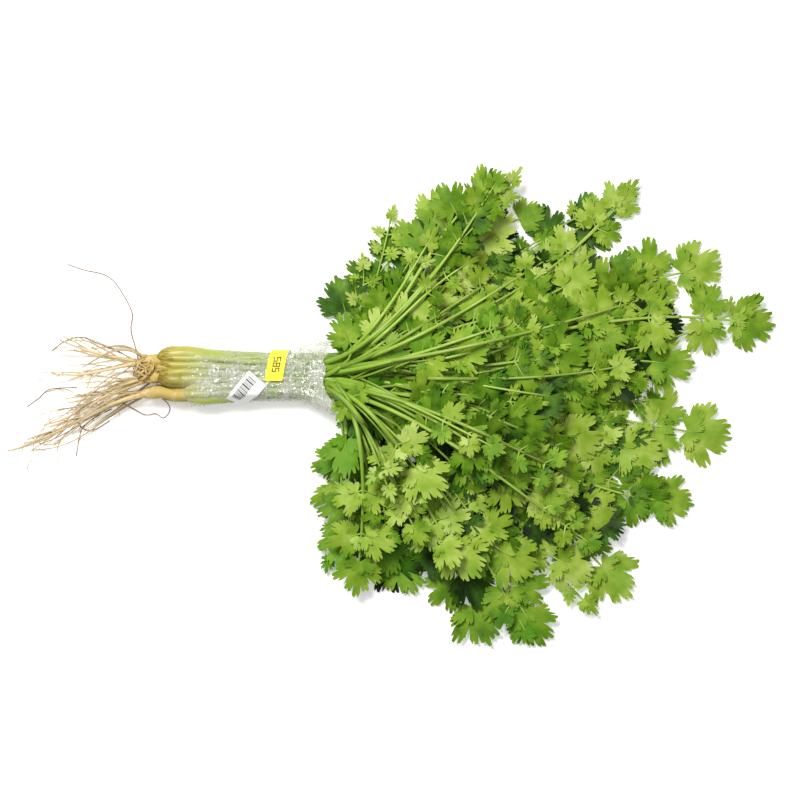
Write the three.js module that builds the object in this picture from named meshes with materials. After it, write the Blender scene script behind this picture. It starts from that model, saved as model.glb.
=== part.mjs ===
// A bunch of fresh coriander, pulled with its roots and lying on a table. Six small plants lie side by
// side: their leaf stalks run straight through a tight sleeve of clear film, fan out beyond it, and carry
// fan-shaped, toothed leaflets in a loose heap. Their crowns and thin roots trail out of the other end of
// the sleeve. Millimetres. +X runs from the roots to the leaves and +Z is up. The origin is on the table,
// under the middle of the flat strip that the sleeve rests on.
import * as THREE from "three";

// The bunch where the film holds it: rows of leaf stalks packed as on a honeycomb, from the table up.
const STALK_R = 1.45;
const STALK_PITCH = 3.15;
const ROW_COUNTS = [5, 6, 7, 8, 7, 6];
const ROW_RISE = (STALK_PITCH * Math.sqrt(3)) / 2;
const GAP = 0.3;
const FILM_THICK = 0.6;
const FIRST_ROW_Z = FILM_THICK + GAP + STALK_R;
const BASE_X = -46;
const FILM_START_X = -36;
const EXIT_X = 40;

// Beyond the film the stalks stay side by side for a short way, then fan out and thin towards the leaf. A
// section is a hexagon that stands on its point: its half width and the half height of its sides are shares
// of its radius.
const SPLAY_X = 46;
const STALK_R_AT_LEAF = 1.0;
const STALK_R_AT_TIP = 0.65;
const SIDE_SHARE = 0.87;
const EDGE_SHARE = 0.5;
const STATION_SPACING = 26;
const MOST_STATIONS = 5;
const STALK_BEND = 28;

// A stalk leaves the film at this share of the angle to its leaf, and holds its first and last direction
// for a share of its length: the first where its leaf lies straight ahead, the second where it lies to the
// side.
const LEAVE_SHARE = 0.3;
const HOLD_SHARES = [0.36, 0.22];

// Leaflets: the reach of the end leaflet and of the side leaflets at size 1, and half the height of a
// blade.
const END_REACH = 21;
const SIDE_REACH = 17.5;
const BLADE_HALF = 0.36;
const PAIR_SPACING = 26;
const END_SPACING = 15;
const PAIR_WIDTH = 1.5;
const SIDE_LEAF_ANGLE = 67;
const BLADE_START = 3.5;
const BLADE_CENTRE = 0.22;

// How leaflets differ: their turn from the set angle in degrees, reach, slope away from the stalk, roll and
// hollowness, and the turn and reach of their teeth and the depth of their notches.
const SIDE_TURNS = [-5, 5];
const SIDE_REACHES = [0.88, 1.05];
const END_REACHES = [0.92, 1.08];
const SLOPES = [-0.3, 0.1];
const ROLLS = [-0.25, 0.25];
const HOLLOWS = [0.05, 0.15];
const TOOTH_TURNS = [-3, 3];
const TOOTH_REACHES = [0.92, 1.05];
const NOTCH_REACHES = [0.94, 1.06];

// A leaflet's teeth from its right to its left, as [degrees from its midrib, share of its reach], and the
// share of its reach at the notch that follows each tooth.
const END_TEETH = [
  [-80, 0.66], [-54, 0.9], [-17, 0.94], [0, 1.02], [17, 0.94], [54, 0.9], [80, 0.66],
];
const END_NOTCHES = [0.7, 0.46, 0.84, 0.84, 0.46, 0.7];
const SIDE_TEETH = [
  [-66, 0.66], [-42, 0.9], [0, 1.02], [42, 0.9], [66, 0.66],
];
const SIDE_NOTCHES = [0.7, 0.48, 0.48, 0.7];

// How high each row would hold the ends of its stalks, and how far they arch above a straight line on the
// way. What lies underneath may lift them further.
const HUB_HEIGHTS = [-2, 4, 8, 13, 18, 22];
const ARCH_HEIGHTS = [0, 2, 4, 6, 8, 9];
const FULL_ARCH_LENGTH = 120;
const FAR_REACH = 260;
const FAR_DROOP = 0.6;
const HUB_CHANGES = [-1.5, 1.5];

// The leaves, row by row from the table up and in each row from +Y to -Y, as the stalks lie in the film:
// [x and y of the end leaflet's foot, turn of the stalk's end in degrees, pairs of side leaflets, size].
const LEAVES = [
  [
    [73, 60, 20, 1, 0.85], [172, 78, -8, 3, 1.0], [231, -29, 0, 3, 1.1], [186, -100, -12, 3, 1.05],
    [77, -97, 12, 2, 0.95],
  ],
  [
    [51, 32, 30, 0, 0.9], [192, 88, 20, 2, 0.8], [228, 55, -4, 3, 1.1], [215, -66, 14, 3, 1.0],
    [117, -121, -6, 2, 1.05], [47, -56, -6, 1, 0.9],
  ],
  [
    [96, 80, 10, 1, 0.9], [196, 35, 6, 3, 1.05], [212, 8, -6, 3, 1.0], [196, -38, 4, 2, 1.0],
    [162, -97, 8, 3, 1.0], [145, -125, -8, 3, 1.0], [50, -80, -10, 2, 0.9],
  ],
  [
    [122, 70, 4, 2, 0.95], [164, 46, 10, 2, 1.0], [256, 30, -14, 3, 1.1], [183, -4, 4, 3, 1.05],
    [164, -31, -6, 2, 1.0], [175, -68, -6, 3, 1.0], [132, -92, 6, 2, 1.0], [51, -31, -14, 0, 0.9],
  ],
  [
    [104, 48, 16, 2, 0.95], [132, 31, -8, 2, 1.0], [154, 10, 8, 2, 1.0], [134, -22, -8, 2, 1.05],
    [148, -60, 6, 2, 0.95], [106, -88, 4, 2, 1.0], [58, -96, -14, 2, 0.9],
  ],
  [
    [120, 94, -14, 2, 0.95], [80, 26, 12, 1, 0.95], [104, 12, -6, 1, 0.95], [100, -20, 4, 1, 0.95],
    [128, -42, -8, 2, 1.0], [86, -46, -6, 1, 0.9],
  ],
];

// The roots of the six plants, lower ones first: where the crown lies behind the stalks, where its taproot
// ends, how far the taproot bows to its left, and how long its side roots are.
const CROWN_X = BASE_X - GAP;
const CROWN_HALF_HEIGHT = 3.85;
const TAPROOT_R = 1.5;
const ROOT_TIP_R = 0.45;
const SIDE_ROOT_HALF = 0.42;
const SIDE_ROOT_PAIRS = 4;
const SIDE_ROOT_STEPS = 4;
const ROOT_BEND = 18;
const PLANTS = [
  { name: "low_left", y: 7.4, z: 5.0, halfWidth: 3.2, end: [-104, 20], bow: 4, sideRoot: 32 },
  { name: "low_middle", y: 0, z: 5.0, halfWidth: 3.2, end: [-100, -14], bow: 3, sideRoot: 26 },
  { name: "low_right", y: -7.4, z: 5.0, halfWidth: 3.2, end: [-132, -40], bow: 5, sideRoot: 34 },
  { name: "high_left", y: 8.4, z: 13.2, halfWidth: 3.7, end: [-108, 2], bow: 7, sideRoot: 34 },
  { name: "high_middle", y: 0, z: 13.2, halfWidth: 3.7, end: [-112, -26], bow: 5, sideRoot: 34 },
  { name: "high_right", y: -8.4, z: 13.2, halfWidth: 3.7, end: [-122, -36], bow: 4, sideRoot: 34 },
];

// A crown narrows and drops towards its taproot: [distance from the stalks, share of its size, drop].
const CROWN_SHAPE = [
  [0, 1, 0], [4, 1, 0], [9, 0.72, -1.2], [13, 0.42, -2.4],
];
const CROWN_LENGTH = CROWN_SHAPE.at(-1)[0];

// A taproot starts this far below its crown's middle and lies at its low height for the last part of its
// way. Its first side roots come just after the crown, its last ones and its last bend at shares of its
// length.
const TAPROOT_DROP = 3.5;
const TAPROOT_LOW_Z = 0.5;
const TAPROOT_SINK = 1.3;
const BRANCHES_AFTER_CROWN = 3;
const LAST_BRANCH = 0.68;
const LAST_BEND = 0.85;
const ROOT_LEAVES_STRAIGHT = 0.35;
const ROOT_BOWS_AT = 0.7;

// How side roots differ: their angle from the taproot, which closes from each pair to the next, and their bend
// at each step in degrees, and their reach, which also falls by this share towards the tip of the taproot.
const SIDE_ROOT_ANGLES = [20, 25];
const SIDE_ROOT_CLOSING = 3;
const SIDE_ROOT_BENDS = [1, 3];
const SIDE_ROOT_REACHES = [0.7, 1.1];
const SIDE_ROOT_FADE = 0.4;

// The sleeve: how far each ring stands off the snug fit, [x, distance].
const FILM_RINGS = [
  [FILM_START_X, 0.5], [FILM_START_X + 6, 0.12], [-14, 0], [6, 0], [26, 0], [34, 0.15], [EXIT_X - 0.5, 1.0],
];

// The yellow date tape and the price label on the film. Lengths round the film run from the middle of its
// top, towards -Y.
const STICKER_THICK = 0.6;
const TAPE_CENTRE_X = 12.9;
const TAPE_WIDTH = 9.5;
const TAPE_LEAN = 0.18;
const TAPE_FROM = -21;
const TAPE_TO = 2.6;
const LABEL_WIDTH = 12;
const LABEL_LENGTH = 19;
const LABEL_CENTRE = [-2.2, 8.2];
const LABEL_TURN = 132;
const LABEL_CORNER_TRIM = 0.05;

const FINISHES = {
  leaf: { color: 0x76a42c, roughness: 0.55 },
  root: { color: 0xcdb27c, roughness: 0.8 },
  film: { color: 0xdfe6cf, roughness: 0.12, transparent: true, opacity: 0.45 },
  tape: { color: 0xf2e530, roughness: 0.45 },
  label: { color: 0xf4f4f2, roughness: 0.6 },
};

const SEED = 20417;
const DEGREE = Math.PI / 180;

// A small seeded generator of numbers from 0 to 1.
function randomFrom(seed) {
  let state = seed >>> 0;
  return () => {
    state = (Math.imul(state, 1664525) + 1013904223) >>> 0;
    return state / 4294967296;
  };
}

const lerp = THREE.MathUtils.lerp;
const smooth = (t) => t * t * (3 - 2 * t);
const pick = ([low, high], random) => lerp(low, high, random());

// The height of what already lies on the table, on a square grid. An empty cell is a gap below the table,
// so that a piece may lie on the table itself.
class Heap {
  static CELL = 0.25;
  static LOW = [-145, -165];
  static SIZE = [1780, 1200];

  constructor() {
    this.height = new Float32Array(Heap.SIZE[0] * Heap.SIZE[1]).fill(-GAP);
  }

  cell(x, y) {
    const i = Math.floor((x - Heap.LOW[0]) / Heap.CELL);
    const j = Math.floor((y - Heap.LOW[1]) / Heap.CELL);
    return i * Heap.SIZE[1] + j;
  }

  heightAt(x, y) {
    return this.height[this.cell(x, y)];
  }

  // Marks a point and the cells around it as filled up to z.
  fill(x, y, z) {
    const middle = this.cell(x, y);
    for (let i = -1; i <= 1; i++) {
      for (let j = -1; j <= 1; j++) {
        const at = middle + i * Heap.SIZE[1] + j;
        this.height[at] = Math.max(this.height[at], z);
      }
    }
  }
}

// A piece of the plant as one thin sheet seen from above. A point has its place in plan, half its
// thickness, and a height that is a constant plus weighted handles: the heights of stations along a stalk,
// how far a leaflet stands above its stalk, and how it tilts. Faces turn left seen from above.
class Sheet {
  static SPACING = 0.4;
  static RISE = { ease: 0.5, most: 10 };
  static TILT = { ease: 0.02, most: 0.7 };
  static MOST_LIFTS = 1500;
  static CLOSE_ENOUGH = 0.004;
  static LEAST_GAIN = 1e-5;

  constructor(bendLength) {
    this.bendLength = bendLength;
    this.points = [];
    this.faces = [];
    this.handles = [];
  }

  station(height, distance) {
    this.handles.push({ value: height, distance, most: Infinity });
    return this.handles.length - 1;
  }

  rise(height) {
    this.handles.push({ value: height, ...Sheet.RISE });
    return this.handles.length - 1;
  }

  tilt(slope) {
    this.handles.push({ value: slope, ...Sheet.TILT });
    return this.handles.length - 1;
  }

  point(x, y, half, height, links = []) {
    this.points.push({ x, y, half, height, links });
    return this.points.length - 1;
  }

  face(...corners) {
    this.faces.push(corners);
  }

  heightOf({ height, links }) {
    return links.reduce((sum, [handle, weight]) => sum + this.handles[handle].value * weight, height);
  }

  // Evenly spread points of every face: its corners and their weights, in rows away from its sharpest
  // corner.
  samples() {
    const found = [];
    const apart = ([p, q]) => Math.hypot(p.x - q.x, p.y - q.y);
    for (const [a, b, c] of this.faces) {
      const sides = [[b, c], [c, a], [a, b]].map((side) => apart(side.map((id) => this.points[id])));
      const sharpest = sides.indexOf(Math.min(...sides));
      const corners = [a, b, c, a, b].slice(sharpest, sharpest + 3);
      const rows = Math.max(1, Math.ceil(Math.max(...sides) / Sheet.SPACING));
      for (let i = 0; i <= rows; i++) {
        const down = i / rows;
        const columns = Math.ceil((down * sides[sharpest]) / Sheet.SPACING);
        for (let j = 0; j <= columns; j++) {
          const across = columns > 0 ? j / columns : 0;
          found.push({ corners, weights: [1 - down, down * (1 - across), down * across] });
        }
      }
    }
    return found;
  }

  mix({ corners, weights }, values) {
    return corners.reduce((sum, id, k) => sum + values[id] * weights[k], 0);
  }

  // How readily one handle follows another: stations near each other move together, and little near the
  // held end.
  follow(a, b) {
    if (a === b && a.distance === undefined) return a.ease;
    if (a.distance === undefined || b.distance === undefined) return 0;
    const near = (distance) => Math.exp(-((distance / this.bendLength) ** 2));
    return near(a.distance - b.distance) - near(a.distance) * near(b.distance);
  }

  // Lifts the sheet by its handles until every sample is clear of the heap, each time at the worst place.
  lift(heap) {
    const [xs, ys, halves] = ["x", "y", "half"].map((key) => this.points.map((p) => p[key]));
    const samples = this.samples().filter((s) => s.corners.some((id) => this.points[id].links.length > 0));
    const needs = samples.map((s) => {
      return heap.heightAt(this.mix(s, xs), this.mix(s, ys)) + GAP + this.mix(s, halves);
    });
    for (let count = 0; count < Sheet.MOST_LIFTS; count++) {
      const heights = this.points.map((p) => this.heightOf(p));
      let worst = -1;
      let short = Sheet.CLOSE_ENOUGH;
      samples.forEach((s, k) => {
        const lack = needs[k] - this.mix(s, heights);
        if (lack > short) [worst, short] = [k, lack];
      });
      if (worst < 0) return;
      if (!this.raise(samples[worst], short)) needs[worst] = -Infinity;
    }
  }

  // Moves the handles of a sample as little as will raise it by a height.
  raise({ corners, weights }, height) {
    const pull = this.handles.map(() => 0);
    corners.forEach((id, k) => {
      for (const [handle, weight] of this.points[id].links) pull[handle] += weight * weights[k];
    });
    const move = this.handles.map((a) => {
      return this.handles.reduce((sum, b, n) => sum + this.follow(a, b) * pull[n], 0);
    });
    const gain = move.reduce((sum, m, n) => sum + m * pull[n], 0);
    if (gain < Sheet.LEAST_GAIN) return false;
    this.handles.forEach((handle, n) => {
      const moved = handle.value + (height * move[n]) / gain;
      handle.value = THREE.MathUtils.clamp(moved, -handle.most, handle.most);
    });
    return true;
  }

  stamp(heap) {
    const [xs, ys] = ["x", "y"].map((key) => this.points.map((p) => p[key]));
    const tops = this.points.map((p) => this.heightOf(p) + p.half);
    for (const s of this.samples()) heap.fill(this.mix(s, xs), this.mix(s, ys), this.mix(s, tops));
  }

  // The closed solid: the faces above and, turned over, below, and a wall along each edge that has one
  // face.
  geometry() {
    const count = this.points.length;
    const skin = (side) => this.points.flatMap((p) => [p.x, p.y, this.heightOf(p) + side * p.half]);
    const edges = new Set(this.faces.flatMap(([a, b, c]) => [`${a},${b}`, `${b},${c}`, `${c},${a}`]));
    const index = this.faces.flatMap(([a, b, c]) => [a, b, c, c + count, b + count, a + count]);
    for (const edge of edges) {
      const [a, b] = edge.split(",").map(Number);
      if (!edges.has(`${b},${a}`)) index.push(b, a, a + count, b, a + count, b + count);
    }
    return solid([...skin(1), ...skin(-1)], index);
  }
}

function solid(positions, index) {
  const made = new THREE.BufferGeometry();
  made.setAttribute("position", new THREE.Float32BufferAttribute(positions, 3));
  made.setIndex(index);
  made.computeVertexNormals();
  return made;
}

// A stalk or root: stations with three points across, left, middle and right, joined to a strip.
function addStrip(sheet, stations) {
  const rings = stations.map((s) => {
    const [sideX, sideY] = [-Math.sin(s.heading), Math.cos(s.heading)];
    const [wide, deep] = [s.halfWidth ?? s.r * SIDE_SHARE, s.halfHeight ?? s.r];
    const links = s.held ? [] : [[sheet.station(s.z, s.distance), 1]];
    const height = s.held ? s.z : 0;
    const across = (away, half) => sheet.point(s.x + sideX * away, s.y + sideY * away, half, height, links);
    return {
      ...s,
      links,
      left: across(wide, deep * EDGE_SHARE),
      middle: across(0, deep),
      right: across(-wide, deep * EDGE_SHARE),
    };
  });
  for (let i = 1; i < rings.length; i++) {
    const [a, b] = [rings[i - 1], rings[i]];
    sheet.face(a.left, a.middle, b.middle);
    sheet.face(a.left, b.middle, b.left);
    sheet.face(a.middle, a.right, b.right);
    sheet.face(a.middle, b.right, b.middle);
  }
  return rings;
}

// A leaflet that grows from an edge of the strip: a hollow, toothed fan round the middle of its blade. foot
// holds the strip's points from the leaflet's right to its left, and rings the stations that it hangs on.
function addLeaflet(sheet, { foot, rings, heading, reach, teeth, notches, random }) {
  const x = rings.reduce((sum, ring) => sum + ring.x, 0) / rings.length;
  const y = rings.reduce((sum, ring) => sum + ring.y, 0) / rings.length;
  const stalk = rings.flatMap((ring) => ring.links.map(([handle]) => [handle, 1 / rings.length]));
  const slope = pick(SLOPES, random);
  const roll = sheet.tilt(pick(ROLLS, random));
  const hollow = pick(HOLLOWS, random);
  const middle = BLADE_START + BLADE_CENTRE * reach;
  const pitch = sheet.tilt(slope);
  const rise = sheet.rise(slope * middle + (hollow * middle ** 2) / reach);
  const place = (along, across) => sheet.point(
    x + Math.cos(heading) * along - Math.sin(heading) * across,
    y + Math.sin(heading) * along + Math.cos(heading) * across,
    BLADE_HALF, (-hollow * Math.hypot(along - middle, across) ** 2) / reach,
    [...stalk, [rise, 1], [pitch, along - middle], [roll, across]],
  );
  const fan = (degrees, distance) => {
    return place(BLADE_START + Math.cos(degrees * DEGREE) * distance, Math.sin(degrees * DEGREE) * distance);
  };
  const rim = [];
  teeth.forEach(([degrees, share], k) => {
    rim.push(fan(degrees + pick(TOOTH_TURNS, random), share * reach * pick(TOOTH_REACHES, random)));
    if (k === teeth.length - 1) return;
    const between = (degrees + teeth[k + 1][0]) / 2;
    rim.push(fan(between, notches[k] * reach * pick(NOTCH_REACHES, random)));
  });
  const centre = place(middle, 0);
  const round = [foot[0], ...rim, ...foot.slice(1)];
  round.forEach((id, k) => sheet.face(centre, id, round[(k + 1) % round.length]));
}

// The way of a stalk beyond the film, in plan: out along +X, then round towards its end leaflet.
function stalkWay(start, end, turn) {
  const straight = Math.hypot(end[0] - start[0], end[1] - start[1]);
  const aim = Math.atan2(end[1] - start[1], end[0] - start[0]);
  const last = aim + turn * DEGREE;
  const leave = aim * LEAVE_SHARE;
  const hold = straight * lerp(...HOLD_SHARES, Math.min(1, Math.abs(aim) / (Math.PI / 2)));
  return new THREE.CubicBezierCurve3(
    new THREE.Vector3(start[0], start[1], 0),
    new THREE.Vector3(start[0] + Math.cos(leave) * hold, start[1] + Math.sin(leave) * hold, 0),
    new THREE.Vector3(end[0] - Math.cos(last) * hold, end[1] - Math.sin(last) * hold, 0),
    new THREE.Vector3(end[0], end[1], 0),
  );
}

function stationOn(way, distance) {
  const share = THREE.MathUtils.clamp(distance / way.getLength(), 0, 1);
  const at = way.getPointAt(share);
  const towards = way.getTangentAt(share);
  return { x: at.x, y: at.y, heading: Math.atan2(towards.y, towards.x), share, distance };
}

// The stations of a leaf stalk: held in the film, then free along its way, two for each pair of side
// leaflets.
function stalkStations(row, y, way, pairs, size, hub) {
  const z = FIRST_ROW_Z + row * ROW_RISE;
  const length = way.getLength();
  const spacing = PAIR_SPACING * size;
  const firstPair = pairs > 0 ? length - END_SPACING * size - (pairs - 1) * spacing : length;
  const petioleSteps = THREE.MathUtils.clamp(Math.round(firstPair / STATION_SPACING), 1, MOST_STATIONS);
  const distances = [0];
  for (let i = 1; i < petioleSteps; i++) distances.push((firstPair * i) / petioleSteps);
  for (let p = 0; p < pairs; p++) {
    const back = firstPair + p * spacing;
    distances.push(back, back + PAIR_WIDTH);
  }
  distances.push(length);
  const arch = ARCH_HEIGHTS[row] * Math.min(1, length / FULL_ARCH_LENGTH);
  const straight = SPLAY_X - EXIT_X;
  const free = distances.map((d) => {
    const at = stationOn(way, d);
    const r = d < firstPair
      ? lerp(STALK_R, STALK_R_AT_LEAF, d / firstPair)
      : lerp(STALK_R_AT_LEAF, STALK_R_AT_TIP, (d - firstPair) / (length - firstPair + 1));
    const height = lerp(z, hub, smooth(at.share)) + arch * 4 * at.share * (1 - at.share);
    return { ...at, z: height, r, distance: d + straight };
  });
  const inFilm = { y, z, heading: 0, r: STALK_R, held: true };
  return [{ ...inFilm, x: BASE_X }, { ...inFilm, x: EXIT_X }, ...free];
}

// One leaf: its stalk from its place in the film, then its rachis with pairs of side leaflets and one at
// the end.
function leafSheet(row, place, [endX, endY, turn, pairs, size], random) {
  const sheet = new Sheet(STALK_BEND);
  const y = ((ROW_COUNTS[row] - 1) / 2 - place) * STALK_PITCH;
  const way = stalkWay([SPLAY_X, y], [endX, endY], turn);
  const far = Math.hypot(endX, endY) / FAR_REACH;
  const hub = HUB_HEIGHTS[row] * (1 - FAR_DROOP * far * far) + pick(HUB_CHANGES, random);
  const rings = addStrip(sheet, stalkStations(row, y, way, pairs, size, hub));
  const last = rings[rings.length - 1];
  for (let p = 0; p < pairs; p++) {
    const back = rings[rings.length - 1 - 2 * (pairs - p)];
    const front = rings[rings.length - 2 * (pairs - p)];
    for (const side of [1, -1]) {
      addLeaflet(sheet, {
        foot: side > 0 ? [front.left, back.left] : [back.right, front.right],
        rings: [back, front],
        heading: back.heading + side * (SIDE_LEAF_ANGLE + pick(SIDE_TURNS, random)) * DEGREE,
        reach: SIDE_REACH * size * pick(SIDE_REACHES, random),
        teeth: SIDE_TEETH,
        notches: SIDE_NOTCHES,
        random,
      });
    }
  }
  addLeaflet(sheet, {
    foot: [last.right, last.left, last.middle],
    rings: [last],
    heading: last.heading,
    reach: END_REACH * size * pick(END_REACHES, random),
    teeth: END_TEETH,
    notches: END_NOTCHES,
    random,
  });
  return sheet;
}

// A side root: a thin strip of two points across that ends in a point and sinks towards the table.
function addSideRoot(sheet, { foot, ring, heading, bend, reach }) {
  const [handle] = ring.links[0];
  let [right, left] = foot;
  let x = (sheet.points[right].x + sheet.points[left].x) / 2;
  let y = (sheet.points[right].y + sheet.points[left].y) / 2;
  let way = heading;
  const tilt = sheet.tilt(-ring.z / reach);
  const step = reach / SIDE_ROOT_STEPS;
  for (let k = 1; k <= SIDE_ROOT_STEPS; k++) {
    x += Math.cos(way) * step;
    y += Math.sin(way) * step;
    way += bend;
    const links = [[handle, 1], [tilt, k * step]];
    if (k === SIDE_ROOT_STEPS) {
      sheet.face(right, sheet.point(x, y, SIDE_ROOT_HALF, 0, links), left);
      return;
    }
    const [sideX, sideY] = [-Math.sin(way) * SIDE_ROOT_HALF, Math.cos(way) * SIDE_ROOT_HALF];
    const nextRight = sheet.point(x - sideX, y - sideY, SIDE_ROOT_HALF, 0, links);
    const nextLeft = sheet.point(x + sideX, y + sideY, SIDE_ROOT_HALF, 0, links);
    sheet.face(right, nextRight, nextLeft);
    sheet.face(right, nextLeft, left);
    [right, left] = [nextRight, nextLeft];
  }
}

// The stations of a crown and its taproot: the thick crown behind the stalks, then two for each pair of
// side roots, then its tail.
function taprootStations(plant) {
  const [endX, endY] = plant.end;
  const start = new THREE.Vector3(CROWN_X, plant.y, 0);
  const end = new THREE.Vector3(endX, endY, 0);
  const away = end.clone().sub(start);
  const sideways = new THREE.Vector3(-away.y, away.x, 0).setLength(plant.bow);
  const way = new THREE.CubicBezierCurve3(
    start,
    new THREE.Vector3(CROWN_X - away.length() * ROOT_LEAVES_STRAIGHT, plant.y, 0),
    start.clone().lerp(end, ROOT_BOWS_AT).add(sideways),
    end,
  );
  const length = way.getLength();
  const crown = CROWN_SHAPE.map(([d, share, drop]) => ({
    ...stationOn(way, d),
    z: plant.z + drop,
    halfWidth: plant.halfWidth * share,
    halfHeight: CROWN_HALF_HEIGHT * share,
    held: d === 0,
  }));
  const root = (d) => ({
    ...stationOn(way, d),
    z: lerp(plant.z - TAPROOT_DROP, TAPROOT_LOW_Z, smooth(Math.min(1, (TAPROOT_SINK * d) / length))),
    r: lerp(TAPROOT_R, ROOT_TIP_R, d / length),
  });
  const branched = [];
  for (let p = 0; p < SIDE_ROOT_PAIRS; p++) {
    const d = lerp(CROWN_LENGTH + BRANCHES_AFTER_CROWN, length * LAST_BRANCH, p / (SIDE_ROOT_PAIRS - 1));
    branched.push(root(d), root(d + 2 * SIDE_ROOT_HALF));
  }
  return { crown, all: [...crown, ...branched, root(length * LAST_BEND), root(length)] };
}

// A plant's crown and roots.
function rootSheet(plant, random) {
  const sheet = new Sheet(ROOT_BEND);
  const { crown, all } = taprootStations(plant);
  const rings = addStrip(sheet, all);
  for (let p = 0; p < SIDE_ROOT_PAIRS; p++) {
    const [back, front] = [rings[crown.length + 2 * p], rings[crown.length + 2 * p + 1]];
    const fade = 1 - (SIDE_ROOT_FADE * p) / SIDE_ROOT_PAIRS;
    for (const side of [1, -1]) {
      addSideRoot(sheet, {
        foot: side > 0 ? [front.left, back.left] : [back.right, front.right],
        ring: back,
        heading: back.heading + side * (pick(SIDE_ROOT_ANGLES, random) - p * SIDE_ROOT_CLOSING) * DEGREE,
        bend: -side * pick(SIDE_ROOT_BENDS, random) * DEGREE,
        reach: plant.sideRoot * pick(SIDE_ROOT_REACHES, random) * fade,
      });
    }
  }
  return sheet;
}

// The outline of the packed stalks with rounded corners, a given distance outside their middles, turning
// left as seen from +X. Each point also has its outward direction.
function bundleOutline(distance) {
  const widest = ROW_COUNTS.indexOf(Math.max(...ROW_COUNTS));
  const top = ROW_COUNTS.length - 1;
  const end = (row, side) => ({
    y: (side * (ROW_COUNTS[row] - 1) * STALK_PITCH) / 2,
    z: FIRST_ROW_Z + row * ROW_RISE,
  });
  const corners = [end(0, 1), end(widest, 1), end(top, 1), end(top, -1), end(widest, -1), end(0, -1)];
  return corners.flatMap((corner, k) => {
    const before = corners[(k + corners.length - 1) % corners.length];
    const after = corners[(k + 1) % corners.length];
    const from = Math.atan2(before.y - corner.y, corner.z - before.z);
    const turned = Math.atan2(corner.y - after.y, after.z - corner.z) - from;
    const turn = (turned + 2 * Math.PI) % (2 * Math.PI);
    return [0, 0.5, 1].map((share) => {
      const out = [Math.cos(from + turn * share), Math.sin(from + turn * share)];
      return { y: corner.y + out[0] * distance, z: corner.z + out[1] * distance, out };
    });
  });
}

// The sleeve of clear film: an open tube round the stalks, a little wider at its ends. It stays flat where
// it lies on the table.
function filmGeometry() {
  const inner = STALK_R + GAP;
  const sides = bundleOutline(inner).length;
  const skins = [{ distance: inner + FILM_THICK, floor: 0 }, { distance: inner, floor: FILM_THICK }];
  const positions = skins.flatMap(({ distance, floor }) => {
    return FILM_RINGS.flatMap(([x, flare]) => {
      return bundleOutline(distance + flare).flatMap((p) => [x, p.y, Math.max(floor, p.z)]);
    });
  });
  const index = [];
  const id = (skin, ring, side) => (skin * FILM_RINGS.length + ring) * sides + (side % sides);
  const quad = (a, b, c, d) => index.push(a, b, c, a, c, d);
  const last = FILM_RINGS.length - 1;
  for (let side = 0; side < sides; side++) {
    for (let ring = 1; ring < FILM_RINGS.length; ring++) {
      quad(id(0, ring - 1, side), id(0, ring - 1, side + 1), id(0, ring, side + 1), id(0, ring, side));
      quad(id(1, ring - 1, side), id(1, ring, side), id(1, ring, side + 1), id(1, ring - 1, side + 1));
    }
    quad(id(0, 0, side + 1), id(0, 0, side), id(1, 0, side), id(1, 0, side + 1));
    quad(id(0, last, side), id(0, last, side + 1), id(1, last, side + 1), id(1, last, side));
  }
  return solid(positions, index);
}

// The way round the outside of the film from the middle of its top, one side at a time: the place and the
// outward direction at any length, and the lengths at which it bends.
function filmWalk() {
  const outline = bundleOutline(STALK_R + GAP + FILM_THICK);
  const topZ = Math.max(...outline.map((p) => p.z));
  const side = (sign) => {
    const walk = [{ y: 0, z: topZ, out: [0, 1], length: 0 }];
    const ordered = outline.filter((p) => p.y * sign > 0).sort((a, b) => b.z - a.z || (a.y - b.y) * sign);
    for (const p of ordered) {
      const before = walk[walk.length - 1];
      walk.push({ ...p, length: before.length + Math.hypot(p.y - before.y, p.z - before.z) });
    }
    return walk;
  };
  const [left, right] = [side(1), side(-1)];
  const at = (length) => {
    const walk = length < 0 ? left : right;
    const k = Math.max(1, walk.findIndex((p) => p.length >= Math.abs(length)));
    const [a, b] = [walk[k - 1], walk[k]];
    const t = (Math.abs(length) - a.length) / (b.length - a.length);
    const out = new THREE.Vector2(lerp(a.out[0], b.out[0], t), lerp(a.out[1], b.out[1], t)).normalize();
    return { y: lerp(a.y, b.y, t), z: lerp(a.z, b.z, t), out };
  };
  const bends = [...left.slice(1).map((p) => -p.length), ...right.slice(1).map((p) => p.length)];
  return { at, bends: bends.sort((a, b) => a - b) };
}

// A thin sticker laid on the film: rungs are [length round the film, lowest x, highest x].
function stickerGeometry(rungs, walk) {
  const positions = [GAP + STICKER_THICK, GAP].flatMap((lift) =>
    rungs.flatMap(([length, low, high]) => {
      const p = walk.at(length);
      const [y, z] = [p.y + p.out.x * lift, p.z + p.out.y * lift];
      return [low, y, z, high, y, z];
    }),
  );
  const under = rungs.length * 2;
  const index = [];
  const quad = (a, b, c, d) => index.push(a, b, c, a, c, d);
  for (let low = 0; low < under - 2; low += 2) {
    const [high, nextLow, nextHigh] = [low + 1, low + 2, low + 3];
    quad(nextLow, nextHigh, high, low);
    quad(under + low, under + high, under + nextHigh, under + nextLow);
    quad(low, under + low, under + nextLow, nextLow);
    quad(nextHigh, under + nextHigh, under + high, high);
  }
  quad(1, under + 1, under, 0);
  quad(under - 2, 2 * under - 2, 2 * under - 1, under - 1);
  return solid(positions, index);
}

function tapeRungs({ bends }) {
  const lengths = [TAPE_FROM, ...bends.filter((s) => s > TAPE_FROM && s < TAPE_TO), TAPE_TO];
  return lengths.map((length) => {
    const middle = TAPE_CENTRE_X - TAPE_LEAN * length;
    return [length, middle - TAPE_WIDTH / 2, middle + TAPE_WIDTH / 2];
  });
}

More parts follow.
